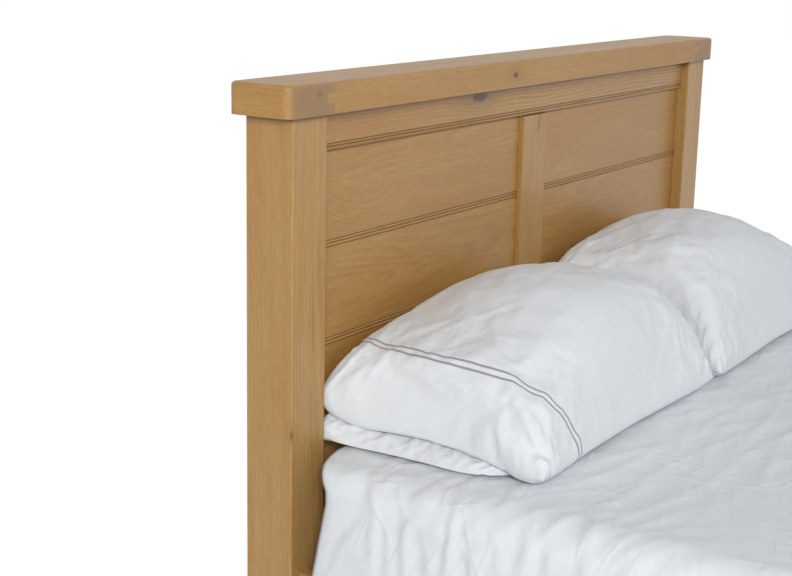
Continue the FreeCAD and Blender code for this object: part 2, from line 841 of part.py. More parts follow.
def pillow_section(x, middle_y, half_depth, bottom, bottom_rise, top, top_rise):
    """One slice of a pillow, from a pair of bottom heights and a pair of top heights.

    Each pair is the height at the front edge and at the back edge. An arc with the given
    rise joins them, and a rise of nothing gives a straight line."""
    front_y = middle_y - half_depth
    back_y = middle_y + half_depth
    bottom_front, bottom_back = V(x, front_y, bottom[0]), V(x, back_y, bottom[1])
    top_front, top_back = V(x, front_y, top[0]), V(x, back_y, top[1])
    bottom_middle = V(x, middle_y, sum(bottom) / 2 + bottom_rise)
    top_middle = V(x, middle_y, sum(top) / 2 + top_rise)
    edges = []
    if bottom_rise > 0:
        edges.append(Part.Arc(bottom_back, bottom_middle, bottom_front).toShape())
    else:
        edges.append(Part.makeLine(bottom_back, bottom_front))
    edges.append(Part.makeLine(bottom_front, top_front))
    edges.append(Part.Arc(top_front, top_middle, top_back).toShape())
    edges.append(Part.makeLine(top_back, bottom_back))
    return Part.Wire(edges)


def pillow(is_upper):
    """A pillow of the right pair. The upper one lies over the lower one's crown."""
    middle_y = head_rail_front_y - pillow_rail_gap - pillow_depth / 2
    rest = duvet_top + duvet_crown + soft_gap
    lower_top = (rest + lower_pillow_front_edge, rest + lower_pillow_back_edge)
    upper_bottom = [z + soft_gap for z in lower_top]
    upper_top = [z + pillow_edge for z in upper_bottom]
    sections = []
    for s in pillow_stations():
        x = pillow_pair_gap / 2 + pillow_length * (s + 1) / 2
        half_depth = pillow_depth / 2 - pillow_draw_in * (1 - s * s)
        share = max(math.sqrt(1 - abs(s) ** pillow_fullness), least_pillow_share)
        lower_rise = lower_pillow_rise * share
        upper_rise = lower_rise + upper_pillow_rise * share
        if is_upper:
            section = pillow_section(
                x, middle_y, half_depth, upper_bottom, lower_rise + pillow_relief, upper_top, upper_rise)
        else:
            section = pillow_section(x, middle_y, half_depth, (rest, rest), 0, lower_top, lower_rise)
        sections.append(section)
    return Part.makeLoft(sections, True, False)


# ---------------------------------------------------------------- the build
os.makedirs("parts", exist_ok=True)

make_end("headboard", head_front_y, head_height, head_rows, side_rail_floor_gap)
make_end("footboard", foot_front_y, foot_height, foot_rows, foot_rail_floor_gap)

save("side_rail_right", side_rail())
save("side_rail_left", mirrored(side_rail()))
save("slat_bearer_right", slat_bearer())
save("slat_bearer_left", mirrored(slat_bearer()))
for number, slat_y in enumerate(slat_positions(), 1):
    save("slat_%02d" % number, slat(slat_y))

save("centre_rail", centre_rail())
save("centre_rail_brackets", group([bracket(face_y, way) for face_y, way in bracket_places()]))
for word, leg_y in zip(("foot", "head"), centre_leg_positions()):
    save("centre_leg_" + word, centre_leg(leg_y))
leg_bolt_bottom = centre_rail_bottom - hanger_bolt_length / 2
save("leg_hanger_bolts", group([
    rod(0, y, leg_bolt_bottom, V(0, 0, 1), bolt_diameter, hanger_bolt_length)
    for y in centre_leg_positions()]))

save("bed_bolts", group(bed_bolts()))
save("barrel_nuts", group(barrel_nuts()))
save("bolt_plugs", group(bolt_plugs()))
save("cap_dowels", group(cap_dowels()))
save("frame_screws", group(slat_screws() + bearer_screws()))
save("bracket_screws", group([
    screw(x, y, z, way, bracket_screw_length) for x, y, z, way in bracket_screw_places()]))
save("floor_glides", group(floor_glides()))

save("mattress", mattress())
save("duvet", duvet())
for word, is_upper in (("lower", False), ("upper", True)):
    save("pillow_" + word + "_right", pillow(is_upper))
    save("pillow_" + word + "_left", mirrored(pillow(is_upper)))
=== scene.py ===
"""Panel bed in waxed pine, made up with a white duvet and four pillows.

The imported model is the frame: every timber, screw and glide keeps its CAD mesh and gets its
finish here, and the mattress, duvet and pillows are made anew over the solids they stand for.
"""
import math

import bpy
import numpy as np
from mathutils import Matrix, Vector


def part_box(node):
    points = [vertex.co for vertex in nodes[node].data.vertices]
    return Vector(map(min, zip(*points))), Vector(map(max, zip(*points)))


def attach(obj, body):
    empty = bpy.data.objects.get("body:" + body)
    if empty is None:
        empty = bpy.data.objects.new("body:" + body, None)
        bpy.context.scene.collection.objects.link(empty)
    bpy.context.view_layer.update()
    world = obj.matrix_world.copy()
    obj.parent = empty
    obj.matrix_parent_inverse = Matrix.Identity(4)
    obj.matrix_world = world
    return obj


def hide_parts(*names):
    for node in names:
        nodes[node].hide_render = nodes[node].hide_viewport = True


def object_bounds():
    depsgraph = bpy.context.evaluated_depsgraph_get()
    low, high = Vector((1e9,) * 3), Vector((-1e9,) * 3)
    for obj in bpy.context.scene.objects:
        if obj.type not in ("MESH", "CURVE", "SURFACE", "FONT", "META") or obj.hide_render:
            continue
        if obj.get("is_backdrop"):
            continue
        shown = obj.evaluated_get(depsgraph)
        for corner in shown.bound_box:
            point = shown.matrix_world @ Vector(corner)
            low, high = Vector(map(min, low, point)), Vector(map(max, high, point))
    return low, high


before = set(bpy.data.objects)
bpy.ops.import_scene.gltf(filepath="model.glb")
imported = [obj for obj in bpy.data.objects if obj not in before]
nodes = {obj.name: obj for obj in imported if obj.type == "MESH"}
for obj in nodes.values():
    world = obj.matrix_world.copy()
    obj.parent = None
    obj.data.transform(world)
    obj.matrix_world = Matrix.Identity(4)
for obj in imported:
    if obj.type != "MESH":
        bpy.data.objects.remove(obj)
cad_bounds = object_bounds()


# ---- Camera -------------------------------------------------------------------------------
# A short telephoto from the bed's left side, a little above the pillows, turned towards the
# headboard and tipped down.

CAMERA_PLACE = Vector((-2.63442, -0.37098, 1.37476))
CAMERA_YAW, CAMERA_PITCH, CAMERA_ROLL = map(math.radians, (33.373, 13.303, 1.211))
CAMERA_LENS = 67.686

forward = Vector((
    math.cos(CAMERA_YAW) * math.cos(CAMERA_PITCH),
    math.sin(CAMERA_YAW) * math.cos(CAMERA_PITCH),
    -math.sin(CAMERA_PITCH),
))
level_right = Vector((math.sin(CAMERA_YAW), -math.cos(CAMERA_YAW), 0))
level_up = level_right.cross(forward)
camera_right = math.cos(CAMERA_ROLL) * level_right + math.sin(CAMERA_ROLL) * level_up
camera_up = -math.sin(CAMERA_ROLL) * level_right + math.cos(CAMERA_ROLL) * level_up

camera = bpy.data.objects.new("camera", bpy.data.cameras.new("camera"))
bpy.context.scene.collection.objects.link(camera)
turn = Matrix((camera_right, camera_up, -forward)).transposed().to_4x4()
camera.matrix_world = Matrix.Translation(CAMERA_PLACE) @ turn
camera.data.sensor_width = 36
camera.data.lens = CAMERA_LENS
bpy.context.scene.camera = camera
bpy.context.scene.view_settings.view_transform = "Standard"


# ---- Studio -------------------------------------------------------------------------------
# A plain white room: an even white world, one broad lamp from the camera's side, a weaker one
# from behind it on the right, and a pale floor that keeps the bed's shadow.

WORLD_LIGHT = 0.39
KEY_LIGHT, KEY_SIZE, KEY_PLACE = 166, 1.5, Vector((-4.4, -1.9, 2.8))
FILL_LIGHT, FILL_SIZE, FILL_PLACE = 34, 2.2, Vector((2.6, -3.2, 2.4))
LAMP_AIM = Vector((0, 0.5, 0.6))
FLOOR_SIZE, FLOOR_GLOW = 40, 0.66


def linear(hexcode):
    """An sRGB hex colour as the linear RGBA that Blender's sockets take."""
    channels = [int(hexcode[i:i + 2], 16) / 255 for i in (1, 3, 5)]
    return [c / 12.92 if c <= 0.04045 else ((c + 0.055) / 1.055) ** 2.4 for c in channels] + [1]


def add(tree, kind, **parts):
    """Adds a shader node. In parts, a name with a capital is an input's label with _ for a
    space, i and a number is an input by its place, and any other name is a setting. An input
    takes a value, another node's output, or a node, which stands for its first output."""
    node = tree.nodes.new("ShaderNode" + kind)
    for key, value in parts.items():
        by_place = key[1:].isdigit()
        if not by_place and key[0].islower():
            setattr(node, key, value)
            continue
        socket = node.inputs[int(key[1:]) if by_place else key.replace("_", " ")]
        if isinstance(value, bpy.types.Node):
            value = value.outputs[0]
        if isinstance(value, bpy.types.NodeSocket):
            tree.links.new(value, socket)
        else:
            socket.default_value = value
    return node


def new_material(name):
    """An empty node material and its node tree."""
    material = bpy.data.materials.new(name)
    material.use_nodes = True
    material.node_tree.nodes.clear()
    return material, material.node_tree


world = bpy.data.worlds.new("white_room")
bpy.context.scene.world = world
world.use_nodes = True
world.node_tree.nodes.clear()
seen = add(world.node_tree, "LightPath")
direct = add(world.node_tree, "Math", operation="MAXIMUM", i0=seen.outputs["Is Camera Ray"],
             i1=seen.outputs["Is Transmission Ray"])
white_ray = add(world.node_tree, "Math", operation="MAXIMUM", i0=direct,
                i1=seen.outputs["Is Glossy Ray"])
strength = add(world.node_tree, "MapRange", Value=white_ray, To_Min=WORLD_LIGHT, To_Max=1.0)
sky = add(world.node_tree, "Background", Color=linear("#ffffff"), Strength=strength)
add(world.node_tree, "OutputWorld", Surface=sky)

for lamp_name, power, size, place in (
    ("key_lamp", KEY_LIGHT, KEY_SIZE, KEY_PLACE),
    ("fill_lamp", FILL_LIGHT, FILL_SIZE, FILL_PLACE),
):
    lamp = bpy.data.lights.new(lamp_name, "AREA")
    lamp.energy, lamp.size = power, size
    lamp_object = bpy.data.objects.new(lamp_name, lamp)
    bpy.context.scene.collection.objects.link(lamp_object)
    aim = (LAMP_AIM - place).to_track_quat("-Z", "Y").to_matrix().to_4x4()
    lamp_object.matrix_world = Matrix.Translation(place) @ aim

floor_material, tree = new_material("white_studio_floor")
seen = add(tree, "LightPath")
direct = add(tree, "Math", operation="MAXIMUM", i0=seen.outputs["Is Camera Ray"],
             i1=seen.outputs["Is Glossy Ray"])
glow = add(tree, "Math", operation="MULTIPLY", i0=direct, i1=FLOOR_GLOW)
surface = add(tree, "BsdfPrincipled", Base_Color=linear("#e6e6e4"), Roughness=0.9,
              Emission_Color=linear("#ffffff"), Emission_Strength=glow)
add(tree, "OutputMaterial", Surface=surface)
half = FLOOR_SIZE / 2
floor_mesh = bpy.data.meshes.new("studio_floor")
floor_mesh.from_pydata([(-half, -half, 0), (half, -half, 0), (half, half, 0), (-half, half, 0)],
                       [], [(0, 1, 2, 3)])
floor_mesh.materials.append(floor_material)
floor = bpy.data.objects.new("studio_floor", floor_mesh)
bpy.context.scene.collection.objects.link(floor)
floor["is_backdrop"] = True


# ---- Posts --------------------------------------------------------------------------------
# Four 90 x 94 mm posts of solid pine, planed, sanded and rubbed with a tinted wax. The grain
# runs up them in straight fine lines, and the satin wax catches the light along their edges.

PINE_PALE, PINE_HONEY, PINE_LATE = "#b7905c", "#aa8149", "#8c6531"
# The last colour is painted shade: the dark brown of the thin bands under the caps, in the bead
# quirks and under the top rails. The one before it is the end grain's colour, which on the cap
# blocks' fronts is also a painted sheen.
PINE_KNOT, PINE_KNOT_RIM, PINE_END_GRAIN_AND_SHEEN, PINE_PAINTED_SHADE = "#3a240f", "#7d6040", "#8e7152", "#6b470f"
RING_WIDTH = 0.0036
FIBRE_WIDTH = 0.0011
FLECK_WIDTH = 0.0022
GRAIN_STRETCH = 9
PORE_STRETCH = 0.14
STREAK_WARMTH = (0.5, 1.0, 1.8)
# How far the painted shade bands darken the wood.
PAINTED_SHADE_SHOW = 0.62
AXES = {
    "x": (0, 0, 0),
    "y": (0, 0, math.pi / 2),
    "z": (0, -math.pi / 2, 0),
}


def band(tree, value, middle, inner, outer, strength, fade="SMOOTHSTEP"):
    """A mask: strength where value is within inner of middle, fading to nothing at outer."""
    off = add(tree, "Math", operation="SUBTRACT", i0=value, i1=middle)
    off = add(tree, "Math", operation="ABSOLUTE", i0=off)
    return add(tree, "MapRange", interpolation_type=fade, Value=off, From_Min=inner,
               From_Max=outer, To_Min=strength, To_Max=0.0)


def pine(name, grain, pith, tilt=(0, 0, 0), tone=1.0, rings=RING_WIDTH, wander=5.0,
         contrast=1.0, colours=(PINE_PALE, PINE_HONEY, PINE_LATE), roughness=0.35, knots=(),
         painted_shade_bands=()):
    """Sawn pine. Growth rings are cylinders round a pith line: the distance from that line,
    bent by a slow noise, is read as a saw wave of early and late wood. Fine fibres are a noise
    stretched along the grain. A knot is a dark disc that pushes the rings round itself. Thin
    dark bands of painted shade lie at the given heights, each with its half width: under the
    caps, in the bead quirks and where the boards meet the top rail. End grain is a greyer brown,
    which on the cap blocks' fronts also stands in for a painted sheen."""
    material, tree = new_material(name)
    place = add(tree, "TexCoord").outputs["Object"]
    log = add(tree, "Mapping", vector_type="TEXTURE", Vector=place, Location=pith,
              Rotation=[a + math.radians(t) for a, t in zip(AXES[grain], tilt)],
              Scale=(GRAIN_STRETCH, 1, 1))

    bend = add(tree, "TexNoise", Vector=log, Scale=9.0, Detail=3.0,
               Roughness=0.55).outputs["Color"]
    shift = add(tree, "VectorMath", operation="MULTIPLY_ADD", i0=bend,
                i1=(0, wander * 0.006, wander * 0.006), i2=log)
    knot_layers = []
    for centre, radius, through, darkness in knots:
        away = add(tree, "VectorMath", operation="SUBTRACT", i0=place, i1=centre)
        flat = add(tree, "VectorMath", operation="MULTIPLY", i0=away, i1=through)
        rough_edge = add(tree, "TexNoise", Vector=place, Scale=1.1 / radius, Detail=2.0)
        span = add(tree, "VectorMath", operation="LENGTH", i0=flat)
        ragged = add(tree, "Math", operation="MULTIPLY_ADD", i0=rough_edge.outputs["Fac"],
                     i1=radius * 1.1, i2=span.outputs["Value"])
        core = add(tree, "MapRange", interpolation_type="SMOOTHSTEP", Value=ragged,
                   From_Min=radius * 1.0, From_Max=radius * 1.7, To_Min=darkness, To_Max=0.0)
        halo = add(tree, "MapRange", interpolation_type="SMOOTHERSTEP",
                   Value=span.outputs["Value"], From_Min=0.0, From_Max=radius * 5, To_Min=1.0,
                   To_Max=0.0)
        push = add(tree, "Math", operation="MULTIPLY", i0=halo, i1=radius * 1.6)
        lift = add(tree, "CombineXYZ", Y=push, Z=push)
        shift = add(tree, "VectorMath", operation="ADD", i0=shift, i1=lift)
        rim = add(tree, "Math", operation="MULTIPLY", i0=halo, i1=0.45 * darkness)
        knot_layers += [(rim, linear(PINE_KNOT_RIM)), (core, linear(PINE_KNOT))]

    ring = add(tree, "TexWave", wave_type="RINGS", rings_direction="X", wave_profile="SAW",
               Vector=shift, Scale=2 * math.pi / 20 / rings, Distortion=wander * 0.5, Detail=3.0,
               Detail_Scale=0.25, Detail_Roughness=0.6)
    ramp = add(tree, "ValToRGB", Fac=ring.outputs["Fac"])
    stops = ramp.color_ramp.elements
    stops[0].position, stops[0].color = 0.0, linear(colours[0])
    stops[1].position, stops[1].color = 1.0, linear(colours[0])
    for position, colour in ((0.55, colours[1]), (0.9, colours[2])):
        stops.new(position).color = linear(colour)
    honey = linear(colours[1])

    patch = add(tree, "TexNoise", Vector=log, Scale=5.0, Detail=2.0)
    ring_show = add(tree, "MapRange", Value=patch.outputs["Fac"], From_Min=0.32, From_Max=0.68,
                    To_Min=0.06 * contrast, To_Max=0.60 * contrast)
    ringed = add(tree, "Mix", data_type="RGBA", i0=ring_show, i6=honey,
                 i7=ramp.outputs["Color"]).outputs[2]

    thin = add(tree, "VectorMath", operation="MULTIPLY", i0=log, i1=(PORE_STRETCH, 1, 1))
    level = tone
    streaks = []
    for start, size, low, high in (
        (thin, 0.45 / FIBRE_WIDTH, 0.97, 1.03),
        (thin, 230.0, 0.975, 1.025),
        (thin, 70.0, 0.955, 1.045),
        (log, 0.45 / FIBRE_WIDTH, 1.055, 0.94),
        (log, 0.45 / FLECK_WIDTH, 1.045, 0.94),
        (log, 26.0, 0.935, 1.05),
        (log, 9.0, 0.95, 1.04),
        (log, 2.2, 0.96, 1.04),
    ):
        streak = add(tree, "TexNoise", Vector=start, Scale=size, Detail=2.0, Roughness=0.6)
        streaks.append(streak.outputs["Fac"])
        change = add(tree, "MapRange", Value=streak.outputs["Fac"], From_Min=0.32, From_Max=0.68,
                     To_Min=low, To_Max=high)
        level = add(tree, "Math", operation="MULTIPLY", i0=level, i1=change)
    warm = add(tree, "VectorMath", operation="MULTIPLY_ADD", i0=level, i1=STREAK_WARMTH,
               i2=[1 - share for share in STREAK_WARMTH])
    colour = add(tree, "VectorMath", operation="MULTIPLY", i0=ringed, i1=warm)

    facing = add(tree, "TexCoord").outputs["Normal"]
    grain_line = add(tree, "VectorMath", operation="DOT_PRODUCT", i0=facing,
                     i1=[float(grain == axis) for axis in "xyz"])
    across_grain = add(tree, "Math", operation="ABSOLUTE", i0=grain_line.outputs["Value"])
    # End grain turns a greyer brown; on the cap blocks' fronts this is also a painted sheen.
    end_grain_and_sheen = add(tree, "MapRange", interpolation_type="SMOOTHSTEP", Value=across_grain,
                    From_Min=0.55, From_Max=0.95, To_Max=0.72)
    end_grain_and_sheen_colour = add(tree, "VectorMath", operation="MULTIPLY", i0=linear(PINE_END_GRAIN_AND_SHEEN)[:3], i1=warm)
    height = add(tree, "SeparateXYZ", Vector=place).outputs["Z"]
    layers = [(end_grain_and_sheen, end_grain_and_sheen_colour)]
    # Painted shade: a thin dark band at each given height.
    for middle, half_width in painted_shade_bands:
        dark = band(tree, height, middle, half_width * 0.35, half_width, PAINTED_SHADE_SHOW)
        layers.append((dark, linear(PINE_PAINTED_SHADE)))
    for mask, layer in layers + knot_layers:
        colour = add(tree, "Mix", data_type="RGBA", i0=mask, i6=colour, i7=layer).outputs[2]

    relief = add(tree, "Math", operation="MULTIPLY_ADD", i0=streaks[0], i1=0.6, i2=streaks[1])
    bump = add(tree, "Bump", Strength=0.15, Distance=0.0006, Height=relief)
    sheen = add(tree, "MapRange", Value=streaks[2], From_Min=0.3, From_Max=0.7,
                To_Min=roughness - 0.04, To_Max=roughness + 0.06)
    shader = add(tree, "BsdfPrincipled", Base_Color=colour, Roughness=sheen, IOR=1.5, Normal=bump)
    add(tree, "OutputMaterial", Surface=shader)
    return material


def node_box(node):
    """A CAD node's low corner, high corner and centre, in metres."""
    low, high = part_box(node)
    return low, high, (low + high) / 2


def finish_node(node, material):
    """Puts one material in every slot of a CAD node's mesh."""
    slots = nodes[node].data.materials
    if not slots:
        slots.append(material)
    for i in range(len(slots)):
        slots[i] = material


HEAD_POST_KNOT = ((-0.8175, 1.0215, 0.585), 0.0045, (1, 1, 0.6), 0.5)
FOOT_POST_KNOT = ((0.79, -1.1225, 0.31), 0.007, (1, 0, 0.7), 1)
# Painted shade under the cap: a thin dark band at the top of each post.
POST_TOP_PAINTED_SHADE = 0.009

for i, (node, knots) in enumerate((
    ("headboard_post_left", [HEAD_POST_KNOT]),
    ("headboard_post_right", ()),
    ("footboard_post_left", ()),
    ("footboard_post_right", [FOOT_POST_KNOT]),
)):
    low, high, centre = node_box(node)
    # Each post is sawn from another side of its log, so that no two show the same grain.
    finish_node(node, pine(
        "waxed_pine_" + node, "z",
        (centre.x + 0.052 - 0.03 * i, centre.y + 0.15 + 0.02 * i, 0.4 * i),
        tilt=(0, 0.25 + 0.2 * i, 0.3), tone=1.02, rings=0.0040, wander=5.0, contrast=0.6,
        knots=knots, painted_shade_bands=[(high.z, POST_TOP_PAINTED_SHADE)],
    ))


# ---- Headboard and footboard panels -------------------------------------------------------
# Tongued-and-grooved pine boards laid level between the posts and a centre muntin, with a
# double bead run along each joint. They are flat-sawn, so the rings show as long wavy lines
# and rounded arches, each board differing from the next.

BOARD_TONGUE, LAST_BOARD_REACH = 0.008, 0.0108
BOARD_SWIRLS = {"headboard_board_left_1": (-0.575, 1.048, 0.885),
                "headboard_board_right_2": (0.36, 1.048, 0.72),
                "headboard_board_left_3": (-0.3, 1.048, 0.6)}
# Painted shade: thin dark bands in the quirks of the bead along each board joint.
BEAD_QUIRKS, QUIRK_PAINTED_SHADE = (0.0006, 0.0065, 0.0124), 0.0017
# Painted shade where each board meets the underside of its top rail.
RAIL_UNDERSIDES = {end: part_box(end + "_top_rail")[0].z for end in ("headboard", "footboard")}
RAIL_PAINTED_SHADE, SWIRL_RADIUS = 0.003, 0.024
BOARD_PITHS = ((0.10, 0.045), (0.22, -0.02), (0.06, 0.09), (0.16, 0.03), (0.12, -0.07))
BOARD_TILTS, BOARD_TWISTS = (-1.6, 1.1, 0.7, -0.9), (2.4, -1.8, 1.3)
BOARD_TONES = (0.96, 0.975, 0.945, 0.965)

panel_boards = sorted(n for n in nodes if "_board_" in n)
for i, node in enumerate(panel_boards):
    low, high, centre = node_box(node)
    depth, rise = BOARD_PITHS[i % len(BOARD_PITHS)]
    swirl = BOARD_SWIRLS.get(node)
    last = node.endswith("_4") or node.startswith("footboard")
    bottom = low.z + (LAST_BOARD_REACH if last else BOARD_TONGUE)
    finish_node(node, pine(
        "waxed_pine_" + node, "x",
        (centre.x + 0.35 * (-1) ** i, centre.y + depth, centre.z + rise),
        tilt=(0, BOARD_TILTS[i % 4], BOARD_TWISTS[i % 3]), tone=BOARD_TONES[i % 4],
        rings=0.0062, wander=7.0, contrast=0.42,
        knots=[(swirl, SWIRL_RADIUS, (0.5, 0, 1), 0)] if swirl else (),
        painted_shade_bands=[(bottom + up, QUIRK_PAINTED_SHADE) for up in BEAD_QUIRKS]
        + [(RAIL_UNDERSIDES[node.split("_")[0]], RAIL_PAINTED_SHADE)],
    ))


# ---- Rails and muntins --------------------------------------------------------------------
# The rails and the muntin are tenoned into the posts and each other. The head's top rail has
# a dark branch knot near the middle, and a bead is worked along its lower edge.

TOP_RAIL_KNOT = ((-0.224, 1.0385, 1.086), 0.0120, (0.42, 0, 1), 0.85)
# Painted shade: thin dark bands in the quirks of the top rails' bead, and a painted shadow band
# just under the cap, a little below the rail's top.
NOSE_QUIRKS = (0.0, 0.0081, 0.0133)
CAP_LAP, CAP_SHADE = 0.0068, 0.0026

for i, node in enumerate(sorted(n for n in nodes if n.endswith(("top_rail", "bottom_rail")))):
    low, high, centre = node_box(node)
    knots = [TOP_RAIL_KNOT] if node == "headboard_top_rail" else ()
    painted_shade_bands = [(low.z + up, QUIRK_PAINTED_SHADE) for up in NOSE_QUIRKS] if "top" in node else []
    finish_node(node, pine(
        "waxed_pine_" + node, "x", (centre.x - 0.2 + 0.3 * i, centre.y + 0.08, centre.z - 0.05),
        tilt=(0, 0.8 - 0.5 * i, 0.9), tone=0.99, rings=0.0052, wander=8.0, contrast=1.7,
        knots=knots, painted_shade_bands=painted_shade_bands + [(high.z - CAP_LAP, CAP_SHADE)],
    ))

MUNTIN_STREAK = ((0.0165, 1.0385, 1.018), 0.0065, (1, 0, 0.3), 0.4)

for i, node in enumerate(sorted(n for n in nodes if n.endswith("muntin"))):
    centre = node_box(node)[2]
    knots = [MUNTIN_STREAK] if node == "headboard_muntin" else ()
    finish_node(node, pine(
        "waxed_pine_" + node, "z", (centre.x + 0.03, centre.y + 0.11, centre.z + 0.2 * i),
        tilt=(0, 0.6, 0.5), tone=0.97, rings=0.0046, wander=5.0, contrast=0.7, knots=knots,
    ))


# ---- Caps ---------------------------------------------------------------------------------
# A 51 mm thick cap lies on each end of the bed: a long rail and two end blocks, glued to it
# with three square fingers and rounded over at the corners. The blocks' grain runs crosswise,
# so their front shows the greyer end-grain colour, which there also serves as a painted sheen.

CAP_KNOTS = {"headboard_cap_rail": ((-0.1424, 1.0085, 1.1229), 0.0055, (0.55, 0.2, 0.9), 0.85),
             "headboard_cap_block_left": ((-0.766, 1.0085, 1.133), 0.0040, (0.5, 0.2, 0.6), 0.3)}

for i, node in enumerate(sorted(n for n in nodes if "cap_rail" in n or "cap_block" in n)):
    centre = node_box(node)[2]
    block = "block" in node
    knots = [CAP_KNOTS[node]] if node in CAP_KNOTS else ()
    finish_node(node, pine(
        "waxed_pine_" + node, "y" if block else "x",
        (centre.x + 0.1 * i, centre.y + 0.04 - 0.02 * i, centre.z + (-0.07 if block else 0.11)),
        tilt=(0, 0.9, 0.8 - 0.3 * i), tone=0.98 if block else 0.95,
        rings=0.0036, wander=6.0, knots=knots, contrast=0.7, roughness=0.44,
    ))


# ---- Side rails ---------------------------------------------------------------------------
# Two 28 x 150 mm planks bolted between the posts, all but hidden by the duvet's drop when the
# bed is made up. Same timber and wax as the posts.

for i, node in enumerate(("side_rail_left", "side_rail_right")):
    centre = node_box(node)[2]
    finish_node(node, pine(
        "waxed_pine_" + node, "y", (centre.x - 0.12 + 0.24 * i, 0.3 * i, centre.z + 0.02),
        tilt=(0.5, 0, 0.8), tone=0.98, rings=0.0045, wander=6.0,
    ))


# ---- Bearers, slats, centre rail and legs -------------------------------------------------
# What carries the mattress is plain sanded pine, paler and matt because it has no wax: twelve
# rigid slats screwed down at each end, two bearers, and a centre rail on two legs.

BASE_COLOURS = ("#d2b98f", "#c8ad80", "#b59463")

for i, node in enumerate(sorted(
    n for n in nodes
    if n.startswith(("slat_", "centre_leg")) or n == "centre_rail"
)):
    centre = node_box(node)[2]
    lengthwise = node.startswith(("slat_bearer", "centre_rail"))
    grain = "z" if "leg" in node else "y" if lengthwise else "x"
    finish_node(node, pine(
        "sanded_pine_" + node, grain,
        (centre.x + 0.05 * math.sin(2.1 * i), centre.y + 0.03 * math.cos(1.3 * i),
         centre.z - 0.05 - 0.02 * math.sin(i)),
        tilt=(0.4, 0.5, 0.6), rings=0.004, wander=5.0, colours=BASE_COLOURS, roughness=0.6,
        tone=1 + 0.03 * math.sin(3.7 * i),
    ))


# ---- Fixings ------------------------------------------------------------------------------
# Bed bolts, barrel nuts, screws, hanger bolts and brackets are bright zinc-plated steel: a
# bluish, slightly mottled metal. Bolt plugs are of the posts' pine, and cap dowels are beech.

zinc, tree = new_material("zinc_plated_steel")
place = add(tree, "TexCoord").outputs["Object"]
spangle = add(tree, "TexVoronoi", Vector=place, Scale=420.0)
mottle = add(tree, "MapRange", Value=spangle.outputs["Distance"], To_Min=0.28, To_Max=0.42)
turning = add(tree, "TexNoise", Vector=place, Scale=900.0, Detail=2.0)
bump = add(tree, "Bump", Strength=0.1, Distance=0.0002, Height=turning.outputs["Fac"])
shader = add(tree, "BsdfPrincipled", Base_Color=linear("#c6cacd"), Metallic=1.0, Roughness=mottle,
             Normal=bump)
add(tree, "OutputMaterial", Surface=shader)
for node in ("bed_bolts", "barrel_nuts", "frame_screws", "bracket_screws", "leg_hanger_bolts",
             "centre_rail_brackets"):
    finish_node(node, zinc)

finish_node("bolt_plugs", pine(
    "waxed_pine_bolt_plugs", "x", (0, 0.03, 0.24), tone=0.93, rings=0.003, wander=3.0))
finish_node("cap_dowels", pine(
    "beech_dowel", "z", (0.02, 0.02, 0), rings=0.002, wander=2.0, roughness=0.55,
    colours=("#d8b48d", "#cfa87e", "#c2966a")))


# ---- Glides -------------------------------------------------------------------------------
# Felt discs nailed under the posts and the centre legs, so the bed slides without marking the
# floor: a matt, hairy brown-grey.

felt, tree = new_material("wool_felt")
place = add(tree, "TexCoord").outputs["Object"]
hair = add(tree, "TexNoise", Vector=place, Scale=1400.0, Detail=4.0, Roughness=0.8)
tint = add(tree, "Mix", data_type="RGBA", i0=hair.outputs["Fac"], i6=linear("#4c4641"),
           i7=linear("#7b736b"))
bump = add(tree, "Bump", Strength=0.6, Distance=0.0008, Height=hair.outputs["Fac"])
shader = add(tree, "BsdfPrincipled", Base_Color=tint.outputs[2], Roughness=0.95, Normal=bump)
add(tree, "OutputMaterial", Surface=shader)
finish_node("floor_glides", felt)


# ---- Mattress -----------------------------------------------------------------------------
# A 1500 x 2000 x 230 mm sprung mattress in woven ticking, with a taped edge top and bottom.
# It lies on the slats under the duvet, and shows only at the bed's ends and from below.

MATTRESS_CROWN, MATTRESS_TAPE, MATTRESS_BELLY = 8, 6, 2
TICKING_WHITE, TICKING_GREY = "#e2e1dc", "#cfccc4"
RIDER = "root"


def sheet_faces(grid):
    """Quads between neighbouring entries of a 2-D array of vertex numbers."""
    corners = (grid[:-1, :-1], grid[1:, :-1], grid[1:, 1:], grid[:-1, 1:])
    return np.stack(corners, -1).reshape(-1, 4)


def new_piece(name, points_mm, faces, uv_m=None):
    """A smooth mesh object at the origin from points in mm, quads and, if given, a UV per
    vertex. Points that no face uses are left out, and a quad that names a point twice becomes
    a triangle."""
    used, compact = np.unique(faces, return_inverse=True)
    corners = [tuple(dict.fromkeys(face)) for face in compact.reshape(-1, 4).tolist()]
    mesh = bpy.data.meshes.new(name)
    mesh.from_pydata(points_mm[used] / 1000, [], corners)
    mesh.validate()
    if uv_m is not None:
        loop_points = np.empty(len(mesh.loops), int)
        mesh.loops.foreach_get("vertex_index", loop_points)
        layer = mesh.uv_layers.new(name="cloth")
        layer.data.foreach_set("uv", uv_m[used][loop_points].ravel())
    mesh.polygons.foreach_set("use_smooth", [True] * len(mesh.polygons))
    piece = bpy.data.objects.new(name, mesh)
    bpy.context.scene.collection.objects.link(piece)
    return piece


